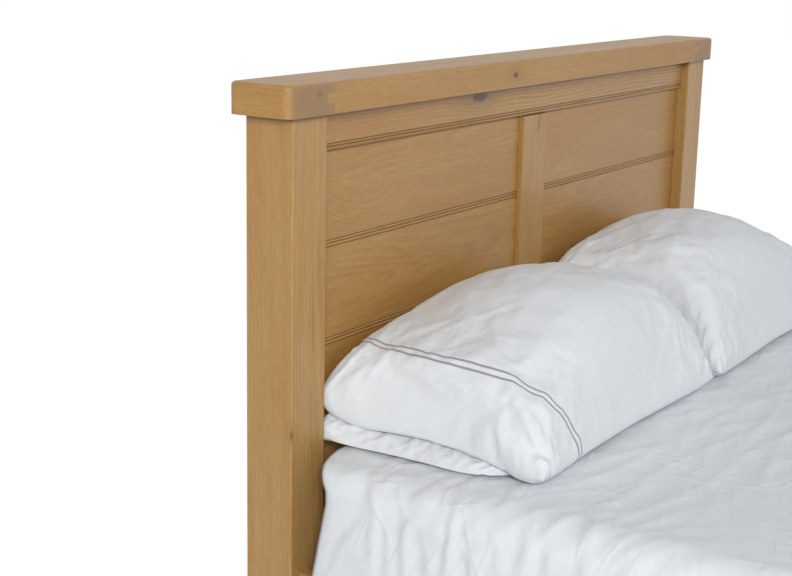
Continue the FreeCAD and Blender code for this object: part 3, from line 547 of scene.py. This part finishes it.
def mattress_points(low, high, around=240, rows=60):
    """A profile carried round a rounded rectangle. Round the path: a superellipse of power 24
    in angle, which is the rectangle with its corners rounded. Up the profile: the bottom panel
    grows from its centre, the side rises with a bead at each taped edge, and the top panel
    closes to its centre, raised by a cosine crown."""
    turn = np.linspace(0, 2 * np.pi, around, endpoint=False) + np.pi / around
    reach = (np.abs(np.cos(turn)) ** 24 + np.abs(np.sin(turn)) ** 24) ** (-1 / 24)
    half_x, half_y = (high[0] - low[0]) / 2 - 3, (high[1] - low[1]) / 2 - 3
    panel = np.linspace(0, 1, rows)
    side = np.linspace(0, 1, rows)[1:-1]
    bead = np.exp(-((side - 0.06) / 0.03) ** 2) + np.exp(-((side - 0.94) / 0.03) ** 2)
    belly = np.sin(np.pi * side)
    wall = 1 + (bead * MATTRESS_TAPE / 2 + belly * MATTRESS_BELLY) / 1000
    scale = np.concatenate([panel, wall, panel[::-1]])
    tall = high[2] - low[2] - MATTRESS_CROWN
    rise = np.concatenate([
        0 * panel, side * tall, tall + MATTRESS_CROWN * np.cos(np.pi / 2 * panel[::-1])])
    x = (low[0] + high[0]) / 2 + half_x * scale[:, None] * (reach * np.cos(turn))[None]
    y = (low[1] + high[1]) / 2 + half_y * scale[:, None] * (reach * np.sin(turn))[None]
    z = np.repeat(low[2] + rise[:, None], around, 1)
    return np.stack([x, y, z], -1)


low, high = (np.array(corner) * 1000 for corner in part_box("mattress"))
points = mattress_points(low, high)
levels, around = points.shape[:2]
ring_numbers = np.arange(levels * around).reshape(levels, around)
ring_numbers = np.concatenate([ring_numbers, ring_numbers[:, :1]], 1)
ring_numbers[0], ring_numbers[-1] = 0, (levels - 1) * around
faces = sheet_faces(ring_numbers)[:, ::-1]
mattress = new_piece("mattress_ticking", points.reshape(-1, 3), faces)
ticking, tree = new_material("woven_mattress_ticking")
place = add(tree, "TexCoord").outputs["Object"]
rows_of_quilting = add(tree, "TexWave", bands_direction="DIAGONAL", Vector=place, Scale=6.0,
                       Distortion=1.5, Detail=1.0)
weave = add(tree, "TexWave", bands_direction="DIAGONAL", Vector=place, Scale=160.0)
tint = add(tree, "Mix", data_type="RGBA", i0=weave.outputs["Fac"], i6=linear(TICKING_WHITE),
           i7=linear(TICKING_GREY))
height = add(tree, "Math", operation="MULTIPLY_ADD", i0=weave.outputs["Fac"], i1=0.08,
             i2=rows_of_quilting.outputs["Fac"])
bump = add(tree, "Bump", Strength=0.5, Distance=0.003, Height=height)
shader = add(tree, "BsdfPrincipled", Base_Color=tint.outputs[2], Roughness=0.85, Normal=bump)
add(tree, "OutputMaterial", Surface=shader)
mattress.data.materials.append(ticking)
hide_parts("mattress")
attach(mattress, RIDER)


# ---- Duvet --------------------------------------------------------------------------------
# A 2.3 x 2.2 m feather duvet in a white cotton percale cover, laid over the mattress: it rolls
# over both shoulders, hangs past the side rails in soft folds, and is tucked down at the foot.

DUVET_HALF, DUVET_LENGTH, DUVET_TAIL = 1162, 1970, 220
DUVET_SIDE, DUVET_SHOULDER, DUVET_HEAD_SHOULDER = 815, 60, 36
DUVET_TOP, DUVET_HEAD, DUVET_FOOT_RADIUS = 543, 1002, 30
HEAD_SLOPE, HEAD_FLARE, HEAD_FADE, SHOULDER_FADE = 44, 60, 700, 220
SLOPE_FROM, SLOPE_OVER, FLARE_FROM, FLARE_OVER = 710, 130, 860, 300
DUVET_TAIL_HALF = 705
DUVET_FINE_ACROSS, DUVET_FINE_ALONG, DUVET_FINE_STEP = 670, 640, 7
TOP_THICK, SIDE_THICK, TAIL_THICK, SEAM_THICK = 32, 20, 15, 3
SEAM_ROUND, SEAM_TUCK, THIN_FROM, THIN_OVER = 16, 6, 770, 90
DUVET_STEP = 16
FOLD_COUNT, FOLD_SWELL = 7, 7
HEAD_SWELL, HEAD_SWELL_AT, HEAD_SWELL_WIDE, HEAD_SWELL_DEEP = 2, 780, 90, 130
DUVET_CREASES = ((4.5, 0.3, 420, 70, 21), (4, -0.22, 380, 54, 31), (3, 0.7, 330, 42, 41),
                 (2.5, 1.3, 300, 60, 51))
PRESSED_FOLDS = (
    (((702, 108), (822, 96), (868, 74), (922, 46), (976, 28)), 13, 2.8),
    (((686, 150), (778, 128), (824, 106), (878, 96), (926, 110)), 12, 1.9),
    (((780, 148), (828, 158)), 8, 1.7),
    (((718, 224), (782, 204), (822, 166)), 11, 3.0),
    (((704, 254), (748, 248), (806, 240)), 10, 1.9),
    (((792, 256), (826, 256), (870, 248), (910, 250)), 9, 3.3),
    (((692, 258), (814, 264)), 11, 1.7),
    (((688, 336), (788, 338)), 12, 2.2),
    (((828, 182), (862, 160), (894, 160), (934, 170)), 15, 2.5),
    (((842, 286), (894, 296), (960, 300)), 14, 2.2),
    (((794, 390), (830, 388), (872, 382), (950, 378)), 14, 2.2),
    (((802, 430), (860, 428), (930, 436)), 13, 2.2),
    (((866, 128), (942, 142), (1020, 150)), 12, 2.5),
    (((874, 202), (920, 218), (1010, 216)), 14, 2.5),
    (((700, 470), (800, 490), (900, 484)), 16, 2.2),
    (((820, 560), (930, 548), (1050, 560)), 18, 2.5),
)
PILLOWS_WIDE, PILLOWS_DEEP, PRESSED_LIFT = 715, 380, 4
PERCALE_WHITE, PERCALE_SHADE = "#e2e6ea", "#dadfe3"
THREAD = 0.0009
RUCK_WIDTH, RUCK_DEPTH = 0.05, 0.0016


def drift(u, v, seed):
    """Smooth noise of about -1 to 1 and wavelength 1 over (u, v): each whole-number point has
    a slope in a random direction, and the four slopes round a place are blended by a quintic."""
    angles = np.random.default_rng(seed).random((64, 64)) * 2 * np.pi
    column, row = np.floor(u).astype(int), np.floor(v).astype(int)
    across, along = u - column, v - row

    def slope(i, j):
        angle = angles[(column + i) % 64, (row + j) % 64]
        return np.cos(angle) * (across - i) + np.sin(angle) * (along - j)

    blend_u, blend_v = (t ** 3 * (t * (6 * t - 15) + 10) for t in (across, along))
    near = slope(0, 0) * (1 - blend_u) + slope(1, 0) * blend_u
    far = slope(0, 1) * (1 - blend_u) + slope(1, 1) * blend_u
    return (near * (1 - blend_v) + far * blend_v) * 1.5


def creases(u, v, angle, length, width, seed):
    """Cloth creases, 0 to 1: the narrow crests of stretched noise, turned by angle from u, that
    fade in and out with a second, broader noise."""
    along = u * np.cos(angle) + v * np.sin(angle)
    across = v * np.cos(angle) - u * np.sin(angle)
    across = across + 0.35 * width * drift(u / length, v / length, seed + 1)
    crest = 1 - np.minimum(1, np.abs(drift(along / length, across / width, seed)) * 2.6)
    shown = np.clip(0.5 + 1.3 * drift(u / length * 0.7, v / length * 0.7, seed + 2), 0, 1)
    return crest ** 2 * shown


def pressed_fold(u, v, path, width):
    """Height across a sharp fold in cloth, -1 to 1, along a path of points in (u, v): it drops
    on one side of the path and rises on the other, as s * exp(-s * s) with s the distance in
    widths, and dies away at both ends of the path."""
    nearest, height = np.full(u.shape, 1e9), np.zeros(u.shape)
    lengths = [math.dist(a, b) for a, b in zip(path, path[1:])]
    gone = 0
    for (start, stop), length in zip(zip(path, path[1:]), lengths):
        du, dv = (stop[0] - start[0]) / length, (stop[1] - start[1]) / length
        t = np.clip((u - start[0]) * du + (v - start[1]) * dv, 0, length)
        side = (v - start[1]) * du - (u - start[0]) * dv
        away = np.hypot(u - start[0] - t * du, v - start[1] - t * dv)
        share = (gone + t) / sum(lengths)
        s = np.sign(side) * away / width
        shown = np.sin(np.pi * np.clip(0.08 + share * 0.84, 0, 1)) ** 0.6
        here = 2.3 * s * np.exp(-s ** 2) * shown
        height = np.where(away < nearest, here, height)
        nearest = np.minimum(nearest, away)
        gone += length
    return height


def percale(name, ruck_show, lines_at=None):
    """White cotton percale: a fine even plain weave, matt, with a faint cool shade. Its threads
    are drawn at THREAD, three times as coarse as they are, so that they show. Small rucks lie
    in three directions. The woven grey lines near a pillowcase's opening follow the piece's
    own UV, which is in metres."""
    material, tree = new_material(name)
    cloth = add(tree, "TexCoord").outputs["UV"]
    warp = add(tree, "TexWave", bands_direction="X", Vector=cloth, Scale=math.pi / 10 / THREAD)
    weft = add(tree, "TexWave", bands_direction="Y", Vector=cloth, Scale=math.pi / 10 / THREAD)
    slub = add(tree, "TexNoise", Vector=cloth, Scale=60.0, Detail=4.0, Roughness=0.6)
    weave = add(tree, "Math", operation="MULTIPLY", i0=warp.outputs["Fac"],
                i1=weft.outputs["Fac"])
    relief = add(tree, "Math", operation="MULTIPLY_ADD", i0=weave, i1=0.10,
                 i2=slub.outputs["Fac"])
    rucks = 0.0
    for degrees, long in ((18, 7), (-24, 5), (78, 6)):
        turned = add(tree, "Mapping", vector_type="TEXTURE", Vector=cloth,
                     Rotation=(0, 0, math.radians(degrees)), Scale=(long, 1, 1))
        field = add(tree, "TexNoise", Vector=turned, Scale=1 / RUCK_WIDTH, Detail=1.5,
                    Roughness=0.4)
        crest = band(tree, field.outputs["Fac"], 0.5, 0.0, 0.055, 1.0)
        shown = add(tree, "TexNoise", Vector=cloth, Scale=7.0 + long, Detail=1.0)
        shown = add(tree, "MapRange", Value=shown.outputs["Fac"], From_Min=0.50, From_Max=0.66)
        rucks = add(tree, "Math", operation="MULTIPLY_ADD", i0=crest, i1=shown, i2=rucks)
    tint = add(tree, "Mix", data_type="RGBA", i0=slub.outputs["Fac"], i6=linear(PERCALE_WHITE),
               i7=linear(PERCALE_SHADE)).outputs[2]
    if lines_at:
        split = add(tree, "SeparateXYZ", Vector=cloth)
        for line in lines_at:
            stripe = band(tree, split, line, LINE_WIDTH * 0.35, LINE_WIDTH * 0.6,
                          LINE_SHOW, "LINEAR")
            tint = add(tree, "Mix", data_type="RGBA", i0=stripe, i6=tint,
                       i7=linear(LINE_GREY)).outputs[2]
    ruffled = add(tree, "Bump", Strength=ruck_show, Distance=RUCK_DEPTH, Height=rucks)
    bump = add(tree, "Bump", Strength=0.35, Distance=0.0016, Height=relief, Normal=ruffled)
    shader = add(tree, "BsdfPrincipled", Base_Color=tint, Roughness=0.88, Sheen_Weight=0.12,
                 Sheen_Roughness=0.5, Normal=bump)
    add(tree, "OutputMaterial", Surface=shader)
    return material


def draped(across, along):
    """The duvet's outer face and its outward direction, at arc length across from the bed's
    middle line and along from its head edge. Across: level, a quarter arc over the shoulder,
    tighter near the head, then straight down. Along: level, then for the tail a quarter arc
    and straight down. The head edge slopes back at the shoulder and flares out below it."""
    tighter = np.exp(-along / SHOULDER_FADE)
    radius = DUVET_SHOULDER + (DUVET_HEAD_SHOULDER - DUVET_SHOULDER) * tighter
    level_half = DUVET_SIDE - radius
    over = np.abs(across) - level_half
    angle = np.clip(over / radius, 0, np.pi / 2)
    side = np.sign(across)
    x = side * (np.minimum(np.abs(across), level_half) + radius * np.sin(angle))
    z = DUVET_TOP - radius * (1 - np.cos(angle)) - np.maximum(0, over - radius * np.pi / 2)
    slope = np.clip((np.abs(across) - SLOPE_FROM) / SLOPE_OVER, 0, 1) ** 1.3
    flare = np.clip((np.abs(across) - FLARE_FROM) / FLARE_OVER, 0, 0.72)
    head = DUVET_HEAD - HEAD_SLOPE * slope + HEAD_FLARE * flare
    faded = np.clip(along / HEAD_FADE, 0, 1)
    head = head * np.clip(1 - along / HEAD_FADE, 0, 1) + DUVET_HEAD * faded
    beyond = np.maximum(0, along - DUVET_LENGTH)
    bend = np.clip(beyond / DUVET_FOOT_RADIUS, 0, np.pi / 2)
    y = head - np.minimum(along, DUVET_LENGTH) - DUVET_FOOT_RADIUS * np.sin(bend)
    z = z - DUVET_FOOT_RADIUS * (1 - np.cos(bend))
    z = z - np.maximum(0, beyond - DUVET_FOOT_RADIUS * np.pi / 2)
    outward = np.stack([
        side * np.sin(angle), -np.sin(bend), np.cos(angle) * np.cos(bend)], -1)
    return np.stack([x, y, z], -1), outward


def bag(name, upper, lower, valid, uv_m):
    """Two cloths sewn together all round: grids of points for the upper and the lower face,
    which share their points along the edge of the cells marked valid."""
    numbers = np.arange(upper.shape[0] * upper.shape[1]).reshape(upper.shape[:2])
    cells = sheet_faces(numbers)[valid.ravel()]
    sides = np.sort(np.concatenate([cells[:, [i, (i + 1) % 4]] for i in range(4)]), 1)
    sides, uses = np.unique(sides, axis=0, return_counts=True)
    seam = np.zeros(numbers.size, bool)
    seam[sides[uses == 1]] = True
    under = np.where(seam, numbers.ravel(), numbers.ravel() + numbers.size)
    points = np.concatenate([upper.reshape(-1, 3), lower.reshape(-1, 3)])
    faces = np.concatenate([cells[:, ::-1], under[cells]])
    return new_piece(name, points, faces, np.concatenate([uv_m.reshape(-1, 2)] * 2))


end = DUVET_LENGTH + DUVET_TAIL
outer_side = np.linspace(DUVET_FINE_ACROSS, DUVET_HALF,
                         round((DUVET_HALF - DUVET_FINE_ACROSS) / DUVET_FINE_STEP) + 1)[1:]
middle = np.linspace(-DUVET_FINE_ACROSS, DUVET_FINE_ACROSS,
                     round(2 * DUVET_FINE_ACROSS / DUVET_STEP) + 1)
across = np.concatenate([-outer_side[::-1], middle, outer_side])
along = np.concatenate([
    np.linspace(0, DUVET_FINE_ALONG, round(DUVET_FINE_ALONG / DUVET_FINE_STEP) + 1),
    np.linspace(DUVET_FINE_ALONG, DUVET_LENGTH,
                round((DUVET_LENGTH - DUVET_FINE_ALONG) / DUVET_STEP) + 1)[1:],
    np.linspace(DUVET_LENGTH, end, round(DUVET_TAIL / DUVET_STEP) + 6)[1:]])
across, along = np.meshgrid(across, along, indexing="ij")
outer, outward = draped(across, along)
hanging = np.clip((np.abs(across) - DUVET_SIDE) / (DUVET_HALF - DUVET_SIDE), 0, 1)

tail_edge = np.minimum(DUVET_TAIL_HALF - np.abs(across), end - along)
main_edge = np.minimum(DUVET_HALF - np.abs(across), DUVET_LENGTH - along)
to_edge = np.minimum(along, np.maximum(tail_edge, main_edge)).clip(0)
stuffed = 1 - np.exp(-to_edge / SEAM_ROUND)
thinned = np.clip((np.abs(across) - THIN_FROM) / THIN_OVER, 0, 1)
thick = TOP_THICK + (SIDE_THICK - TOP_THICK) * thinned
thick = np.where(along > DUVET_LENGTH, TAIL_THICK, thick)

waves = FOLD_COUNT * along / DUVET_LENGTH + 0.5 * drift(along / 420 + 5, hanging + 2, 11)
folds = (0.5 + 0.5 * np.cos(2 * np.pi * waves + np.sign(across))) ** 1.5 * hanging ** 1.4
billow = 4 * drift(across / 310 + 4, along / 340 + 9, 5) + 2 * drift(across / 130, along / 170, 6)
wrinkles = sum(depth * creases(across, along, *shape) for depth, *shape in DUVET_CREASES)
near_head = (np.exp(-along / HEAD_SWELL_DEEP)
             * np.exp(-((np.abs(across) - HEAD_SWELL_AT) / HEAD_SWELL_WIDE) ** 2))
pressed = sum(depth * pressed_fold(np.abs(across), along, path, width)
              for path, width, depth in PRESSED_FOLDS)
lift = (billow + wrinkles + pressed) * (0.35 + 0.65 * stuffed)
lift = lift + FOLD_SWELL * folds + HEAD_SWELL * near_head
under_pillows = (np.abs(across) < PILLOWS_WIDE) & (along < PILLOWS_DEEP)
lift = np.where(under_pillows, np.minimum(lift, PRESSED_LIFT), lift)
outer = outer + outward * lift[..., None]
inner = outer - outward * (SEAM_THICK + (thick - SEAM_THICK) * stuffed + lift * 0.8)[..., None]
tuck = (1 - stuffed) * SEAM_TUCK
outer = outer - outward * tuck[..., None]
inner = inner + outward * (0.3 * tuck)[..., None]

cells_across = np.abs(across[:-1, :-1] + across[1:, 1:]) / 2
cells_along = (along[:-1, :-1] + along[1:, 1:]) / 2
valid = (cells_along < DUVET_LENGTH) | (cells_across < DUVET_TAIL_HALF)
duvet = bag("duvet_in_percale_cover", outer, inner, valid, np.stack([across, along], -1) / 1000)
duvet.data.materials.append(percale("white_cotton_percale_duvet", 0.55))
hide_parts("duvet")
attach(duvet, RIDER)


# ---- Pillows ------------------------------------------------------------------------------
# Four feather pillows in white percale cases, 750 mm long laid flat, in two stacks that meet in
# the middle of the bed. Each case opens at its outer end, with two grey lines woven round it
# 140 mm in. The lower pillow is pressed flat by the upper one, which sits astride it.

PILLOW_HALF = (345, 206)
PILLOW_MIDDLE = (362.5, 827.5)
PILLOW_GRID = (98, 68)
PILLOW_SWELL, PILLOW_CAP, PILLOW_EXCESS = 1.6, 16, 0.012
BROAD_PASSES, BROAD_SHARE, FINE_SHARE, FINE_AT_ENDS = 40, 0.12, 0.4, 0.5
PILLOW_EAR, PILLOW_PUSHED_BACK = 14, 10
PILLOW_WAIST, PILLOW_SPREAD, PILLOW_SAG, PILLOW_UNEVEN = (0.045, 0.05), 76, 60, 0.05
FAN_DEPTH, FAN_REACH, FAN_START = 10, 110, 25
SLACK_DEPTH, SLACK_REACH, SEAM_REACH = 5.0, 190, 9
SLACK_CREASES = ((0.75, 170, 34, 20), (0.2, 150, 30, 30), (-0.6, 190, 38, 40))
CLOTH_FRAMES = 13
PILLOW_REST = 547.5
PILLOWS_APART, POST_FACE, MUNTIN_REACH, MUNTIN_FACE, BOARD_FACE = 1, 726, 56, 1037.5, 1046.5
PRESSED_REACH, PRESSED_FRONT = 680, 710
LOWER_CROWN, LOWER_TIGHT = 662, 2.5
LOWER_FRONT, LOWER_OUTWARD = 100, 20
UPPER_CROWNS = (800, 812)
CORNER_FOLDS = (
    (((78, 64), (44, 38), (12, 12)), 9, 5.0),
    (((34, 16), (38, 52), (34, 96)), 9, 4.0),
    (((104, 132), (72, 92), (52, 52), (46, 20)), 10, 4.0),
    (((92, 30), (66, 22), (30, 8)), 9, 3.0),
)
LINE_WIDTH, LINE_GREY, LINE_SHOW = 0.0042, "#85878e", 0.85
LINES_AT = (0.137, 0.1485)


def domed(u, v, tight):
    """How full a pillow is, 0 at its seams to 1 in its middle, with u = 1 at its outer end and
    v = 1 at the headboard. Each way it is part wall, a superellipse of high power, and part
    mound, a plain power: a long mound to the outer end, a blunt one where the pillows meet and
    against the headboard, and a round one to the front. A tight above 1 flattens the outer end,
    but for its corner by the headboard."""
    wide, deep = np.abs(u), np.abs(v)
    outer_end = 0.58 * (1 - wide ** 14) ** 0.5 + 0.42 * (1 - wide ** 1.45)
    inner_end = 0.8 * (1 - wide ** 10) ** 0.5 + 0.2 * (1 - wide ** 2.4)
    back = 0.75 * (1 - deep ** 12) ** 0.5 + 0.25 * (1 - deep ** 2)
    front = 0.4 * (1 - deep ** 7) ** 0.5 + 0.6 * (1 - deep ** 2.6)
    power = 1 + (tight - 1) * (1 - np.clip(v, 0, 1) ** 4)
    return np.where(u > 0, outer_end ** power, inner_end) * np.where(v > 0, back, front)


def lower_seam(back):
    """Height of a lower pillow's seam, almost level from the front at 0 to the headboard at 1."""
    return 549 + 2 * back + 12 * back ** 12


def upper_seam(back):
    """Height of an upper pillow's seam: it rises slowly from the front corner over the pillow
    below, and climbs where that one is pushed up against the headboard."""
    return 565 + 19 * back + 34 * back ** 8


def cut_back(outer):
    """Share of the front cut that a lower pillow has here, all of it where outer is 1."""
    return 0.2 + 0.8 * outer ** 5


def pillow_form(side, seam_height, crown, tight, front, underside, seed):
    """A pillow before it is blown up: (u, v) run over the case, spread towards its seams by a
    sine. The outline pulls in between the corners, and the corner by the headboard sticks out
    a little. With a front above 0, as the lower pillows have, the front outer corner is cut
    back by as much and the outer end is pushed out. The seam rises from front to back, the
    upper face is a dome over it, and the lower face sags until it meets underside(x, y)."""
    p, q = np.meshgrid(*(np.linspace(-1, 1, n + 1) for n in PILLOW_GRID), indexing="ij")
    spread = math.radians(PILLOW_SPREAD)
    u, v = (np.sin(t * spread) / np.sin(spread) for t in (p, q))
    x = side * PILLOW_MIDDLE[0] + PILLOW_HALF[0] * u * (1 - PILLOW_WAIST[0] * (1 - v ** 2))
    y = PILLOW_MIDDLE[1] + PILLOW_HALF[1] * v * (1 - PILLOW_WAIST[1] * (1 - u ** 2))
    x = x + side * PILLOW_EAR * np.abs(u) ** 4 * np.clip(v, 0, 1) ** 3 * (u * side > 0)
    pushed = PILLOW_PUSHED_BACK * np.clip(v, 0, 1) ** 4 * np.clip((u * side + 0.6) / 0.6, 0, 1)
    outer = np.clip(u * side, 0, 1)
    y = y + pushed + front * cut_back(outer) * (1 - v) / 2
    x = x - side * 0.3 * front * np.clip(-v - 0.4, 0, 1) ** 2 / 0.36 * outer ** 2
    x = x + side * LOWER_OUTWARD * (front > 0) * outer ** 2
    seam = seam_height((v + 1) / 2) + 2 * drift(p * 2 + seed, q * 2, seed)
    full = domed(u * side, v, tight)
    uneven = 1 + PILLOW_UNEVEN * drift(p * 1.4 + 7, q * 1.4 + seed, seed + 1)
    upper = seam + (crown - seam) * full * uneven
    sagged = np.maximum(seam - PILLOW_SAG * full, underside(x, y))
    lower = seam + (sagged - seam) * np.clip(full * 6, 0, 1)
    return (np.stack([x, y, z], -1) for z in (upper, lower))


def gathers(u_mm, v_mm, seed):
    """Height of the puckers in a pillow's cover, from arc lengths over it. Fans of creases
    spread from each corner, drawn in polar coordinates round it, and long slack ones run
    slantwise over the ends. They die away towards the middle and are nothing at the seam."""
    from_end = np.minimum(u_mm, u_mm[-1:] - u_mm)
    from_edge = np.minimum(v_mm, v_mm[:, -1:] - v_mm)
    quarter = 2 * (u_mm > u_mm[-1:] / 2) + (v_mm > v_mm[:, -1:] / 2)
    reach = np.hypot(from_end, from_edge)
    bearing = np.arctan2(from_edge, from_end)
    fan = 1 - np.minimum(1, 2.4 * np.abs(
        drift(bearing * 4.2 + 11 * quarter + 5 * drift(reach / 210, bearing, seed + 8),
              reach / 150 + 3 * quarter, seed)))
    fan = fan ** 1.5 * reach / (reach + FAN_START) * np.exp(-reach / FAN_REACH)
    slack = sum(creases(u_mm, v_mm, *shape, seed + own) for *shape, own in SLACK_CREASES)
    slack = slack * np.exp(-(from_end / SLACK_REACH) ** 2)
    seam_fade = 1 - np.exp(-np.minimum(from_end, from_edge) / SEAM_REACH)
    return (FAN_DEPTH * fan + SLACK_DEPTH * slack) * seam_fade


def smoothed(grid, passes):
    """Each point moved to the average of its two neighbours, first one way and then the other,
    passes times over, with the edge held."""
    for _ in range(passes):
        grid = grid.copy()
        grid[1:-1] = (grid[:-2] + 2 * grid[1:-1] + grid[2:]) / 4
        grid[:, 1:-1] = (grid[:, :-2] + 2 * grid[:, 1:-1] + grid[:, 2:]) / 4
    return grid


def points_of(mesh):
    """A mesh's points in mm."""
    points = np.empty(len(mesh.vertices) * 3)
    mesh.vertices.foreach_get("co", points)
    return points.reshape(-1, 3) * 1000


def blown_up(piece, pressure, excess):
    """The piece's points in mm after a cloth simulation with air pressure and no gravity, the
    cloth cut larger than the form by excess so that it wrinkles. The piece's faces point inward
    for it, so the pressure draws the cloth in over its filling."""
    cloth = piece.modifiers.new("cloth", "CLOTH")
    cloth.settings.quality = 4
    cloth.settings.mass = 0.25
    cloth.settings.tension_stiffness = cloth.settings.compression_stiffness = 25
    cloth.settings.shear_stiffness = 8
    cloth.settings.bending_stiffness = 0.6
    cloth.settings.use_pressure = True
    cloth.settings.uniform_pressure_force = pressure
    cloth.settings.shrink_min = -excess
    cloth.settings.effector_weights.gravity = 0
    cloth.collision_settings.use_collision = False
    cloth.point_cache.frame_end = CLOTH_FRAMES
    for moment in range(1, CLOTH_FRAMES + 1):
        bpy.context.scene.frame_set(moment)
    points = points_of(piece.evaluated_get(bpy.context.evaluated_depsgraph_get()).to_mesh())
    piece.modifiers.remove(cloth)
    bpy.context.scene.frame_set(1)
    return points


def pillow(name, node, side, seam_height, crown, tight, front, underside, seed):
    """Makes one pillow: its form with the puckers, then the cloth simulation, of which the fine
    folds and a capped part of the broad change are kept. After that nothing reaches into what
    carries it, the pillow beside it, the post or the headboard, and its faces are turned to
    point outward. An upper pillow has a front of 0, and the folds at its front outer corner."""
    upper, lower = pillow_form(side, seam_height, crown, tight, front, underside, seed)
    if side > 0:
        upper, lower = upper[::-1], lower[::-1]
    steps = np.linalg.norm(np.diff(upper, axis=0), axis=2)
    u_mm = np.concatenate([np.zeros((1, steps.shape[1])), np.cumsum(steps, 0)])
    steps = np.linalg.norm(np.diff(upper, axis=1), axis=2)
    v_mm = np.concatenate([np.zeros((steps.shape[0], 1)), np.cumsum(steps, 1)], 1)
    uv = np.stack([u_mm, v_mm], -1) / 1000
    normal = np.cross(np.gradient(upper, axis=0), np.gradient(upper, axis=1))
    normal = normal / np.linalg.norm(normal, axis=-1, keepdims=True)
    normal = normal * np.sign(normal[..., 2].mean())
    puckers = gathers(u_mm, v_mm, seed)
    if not front:
        puckers = puckers + sum(depth * pressed_fold(u_mm, v_mm, path, width)
                                for path, width, depth in CORNER_FOLDS)
    upper = upper + normal * puckers[..., None]
    if side > 0:
        uv, upper, lower = uv[::-1], upper[::-1], lower[::-1]
    valid = np.ones((upper.shape[0] - 1, upper.shape[1] - 1), bool)
    form = bag(name, upper, lower, valid, uv)
    moved = points_of(form.data)
    shift = blown_up(form, PILLOW_SWELL, PILLOW_EXCESS) - moved
    count = upper.shape[0] * upper.shape[1]
    over = shift[:count].reshape(upper.shape)
    under = over.copy()
    under[1:-1, 1:-1] = shift[count:].reshape(under[1:-1, 1:-1].shape)
    end_share = np.abs(upper[..., 0] - side * PILLOW_MIDDLE[0]) / PILLOW_HALF[0]
    kept = []
    for layer in (over, under):
        broad = smoothed(layer, BROAD_PASSES)
        fine = layer - broad
        far = np.linalg.norm(broad, axis=-1, keepdims=True)
        broad = broad * np.minimum(1, PILLOW_CAP / np.maximum(far, 1e-6)) * BROAD_SHARE
        kept.append(broad + fine * (FINE_SHARE + FINE_AT_ENDS * end_share[..., None] ** 3))
    moved[:count] += kept[0].reshape(-1, 3)
    moved[count:] += kept[1][1:-1, 1:-1].reshape(-1, 3)
    moved[:, 2] = np.maximum(moved[:, 2], underside(moved[:, 0], moved[:, 1]))
    if front:
        pressed = (np.abs(moved[:, 0]) < PRESSED_REACH) & (moved[:, 1] > PRESSED_FRONT)
        roof = on_lower_pillow(moved[:, 0], moved[:, 1]) - 1
        moved[:, 2] = np.where(pressed, np.minimum(moved[:, 2], roof), moved[:, 2])
    off_middle = np.abs(moved[:, 0])
    behind = np.where(off_middle < MUNTIN_REACH, MUNTIN_FACE, BOARD_FACE)
    moved[:, 0] = np.sign(moved[:, 0]) * np.clip(off_middle, PILLOWS_APART, POST_FACE)
    moved[:, 1] = np.minimum(moved[:, 1], behind)
    form.data.vertices.foreach_set("co", (moved / 1000).ravel())
    form.data.flip_normals()
    subdivision = form.modifiers.new("smooth", "SUBSURF")
    subdivision.levels = subdivision.render_levels = 1
    form.data.materials.append(pillow_percale)
    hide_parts(node)
    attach(form, RIDER)


pillow_percale = percale("white_cotton_percale_pillowcase", 0.25, LINES_AT)


def on_duvet(x, y):
    """The duvet's top under the lower pillows."""
    return np.full_like(x, PILLOW_REST)


def on_lower_pillow(x, y):
    """The pressed top of the lower pillow, as the same dome seen from above, and the duvet
    round it."""
    u = (np.abs(x) - PILLOW_MIDDLE[0]) / PILLOW_HALF[0]
    u = np.clip(u / (1 + LOWER_OUTWARD / PILLOW_HALF[0] * np.clip(u, 0, 1)), -1, 1)
    cut = LOWER_FRONT * cut_back(np.clip(u, 0, 1)) / 2
    v = np.clip((y - PILLOW_MIDDLE[1] - cut) / (PILLOW_HALF[1] - cut), -1, 1)
    top = lower_seam((v + 1) / 2)
    top = top + (LOWER_CROWN + 2 - top) * domed(u, v, LOWER_TIGHT)
    return np.where(np.abs(v) < 1, top, PILLOW_REST)


for seed, (place_name, side) in enumerate((("left", -1), ("right", 1))):
    pillow("pillowcase_lower_" + place_name, "pillow_lower_" + place_name, side,
           lower_seam, LOWER_CROWN, LOWER_TIGHT, LOWER_FRONT, on_duvet, 3 + 10 * seed)
    pillow("pillowcase_upper_" + place_name, "pillow_upper_" + place_name, side,
           upper_seam, UPPER_CROWNS[seed], 1, 0, on_lower_pillow, 7 + 10 * seed)


size = {"cad": [list(c) for c in cad_bounds], "visual": [list(c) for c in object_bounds()]}
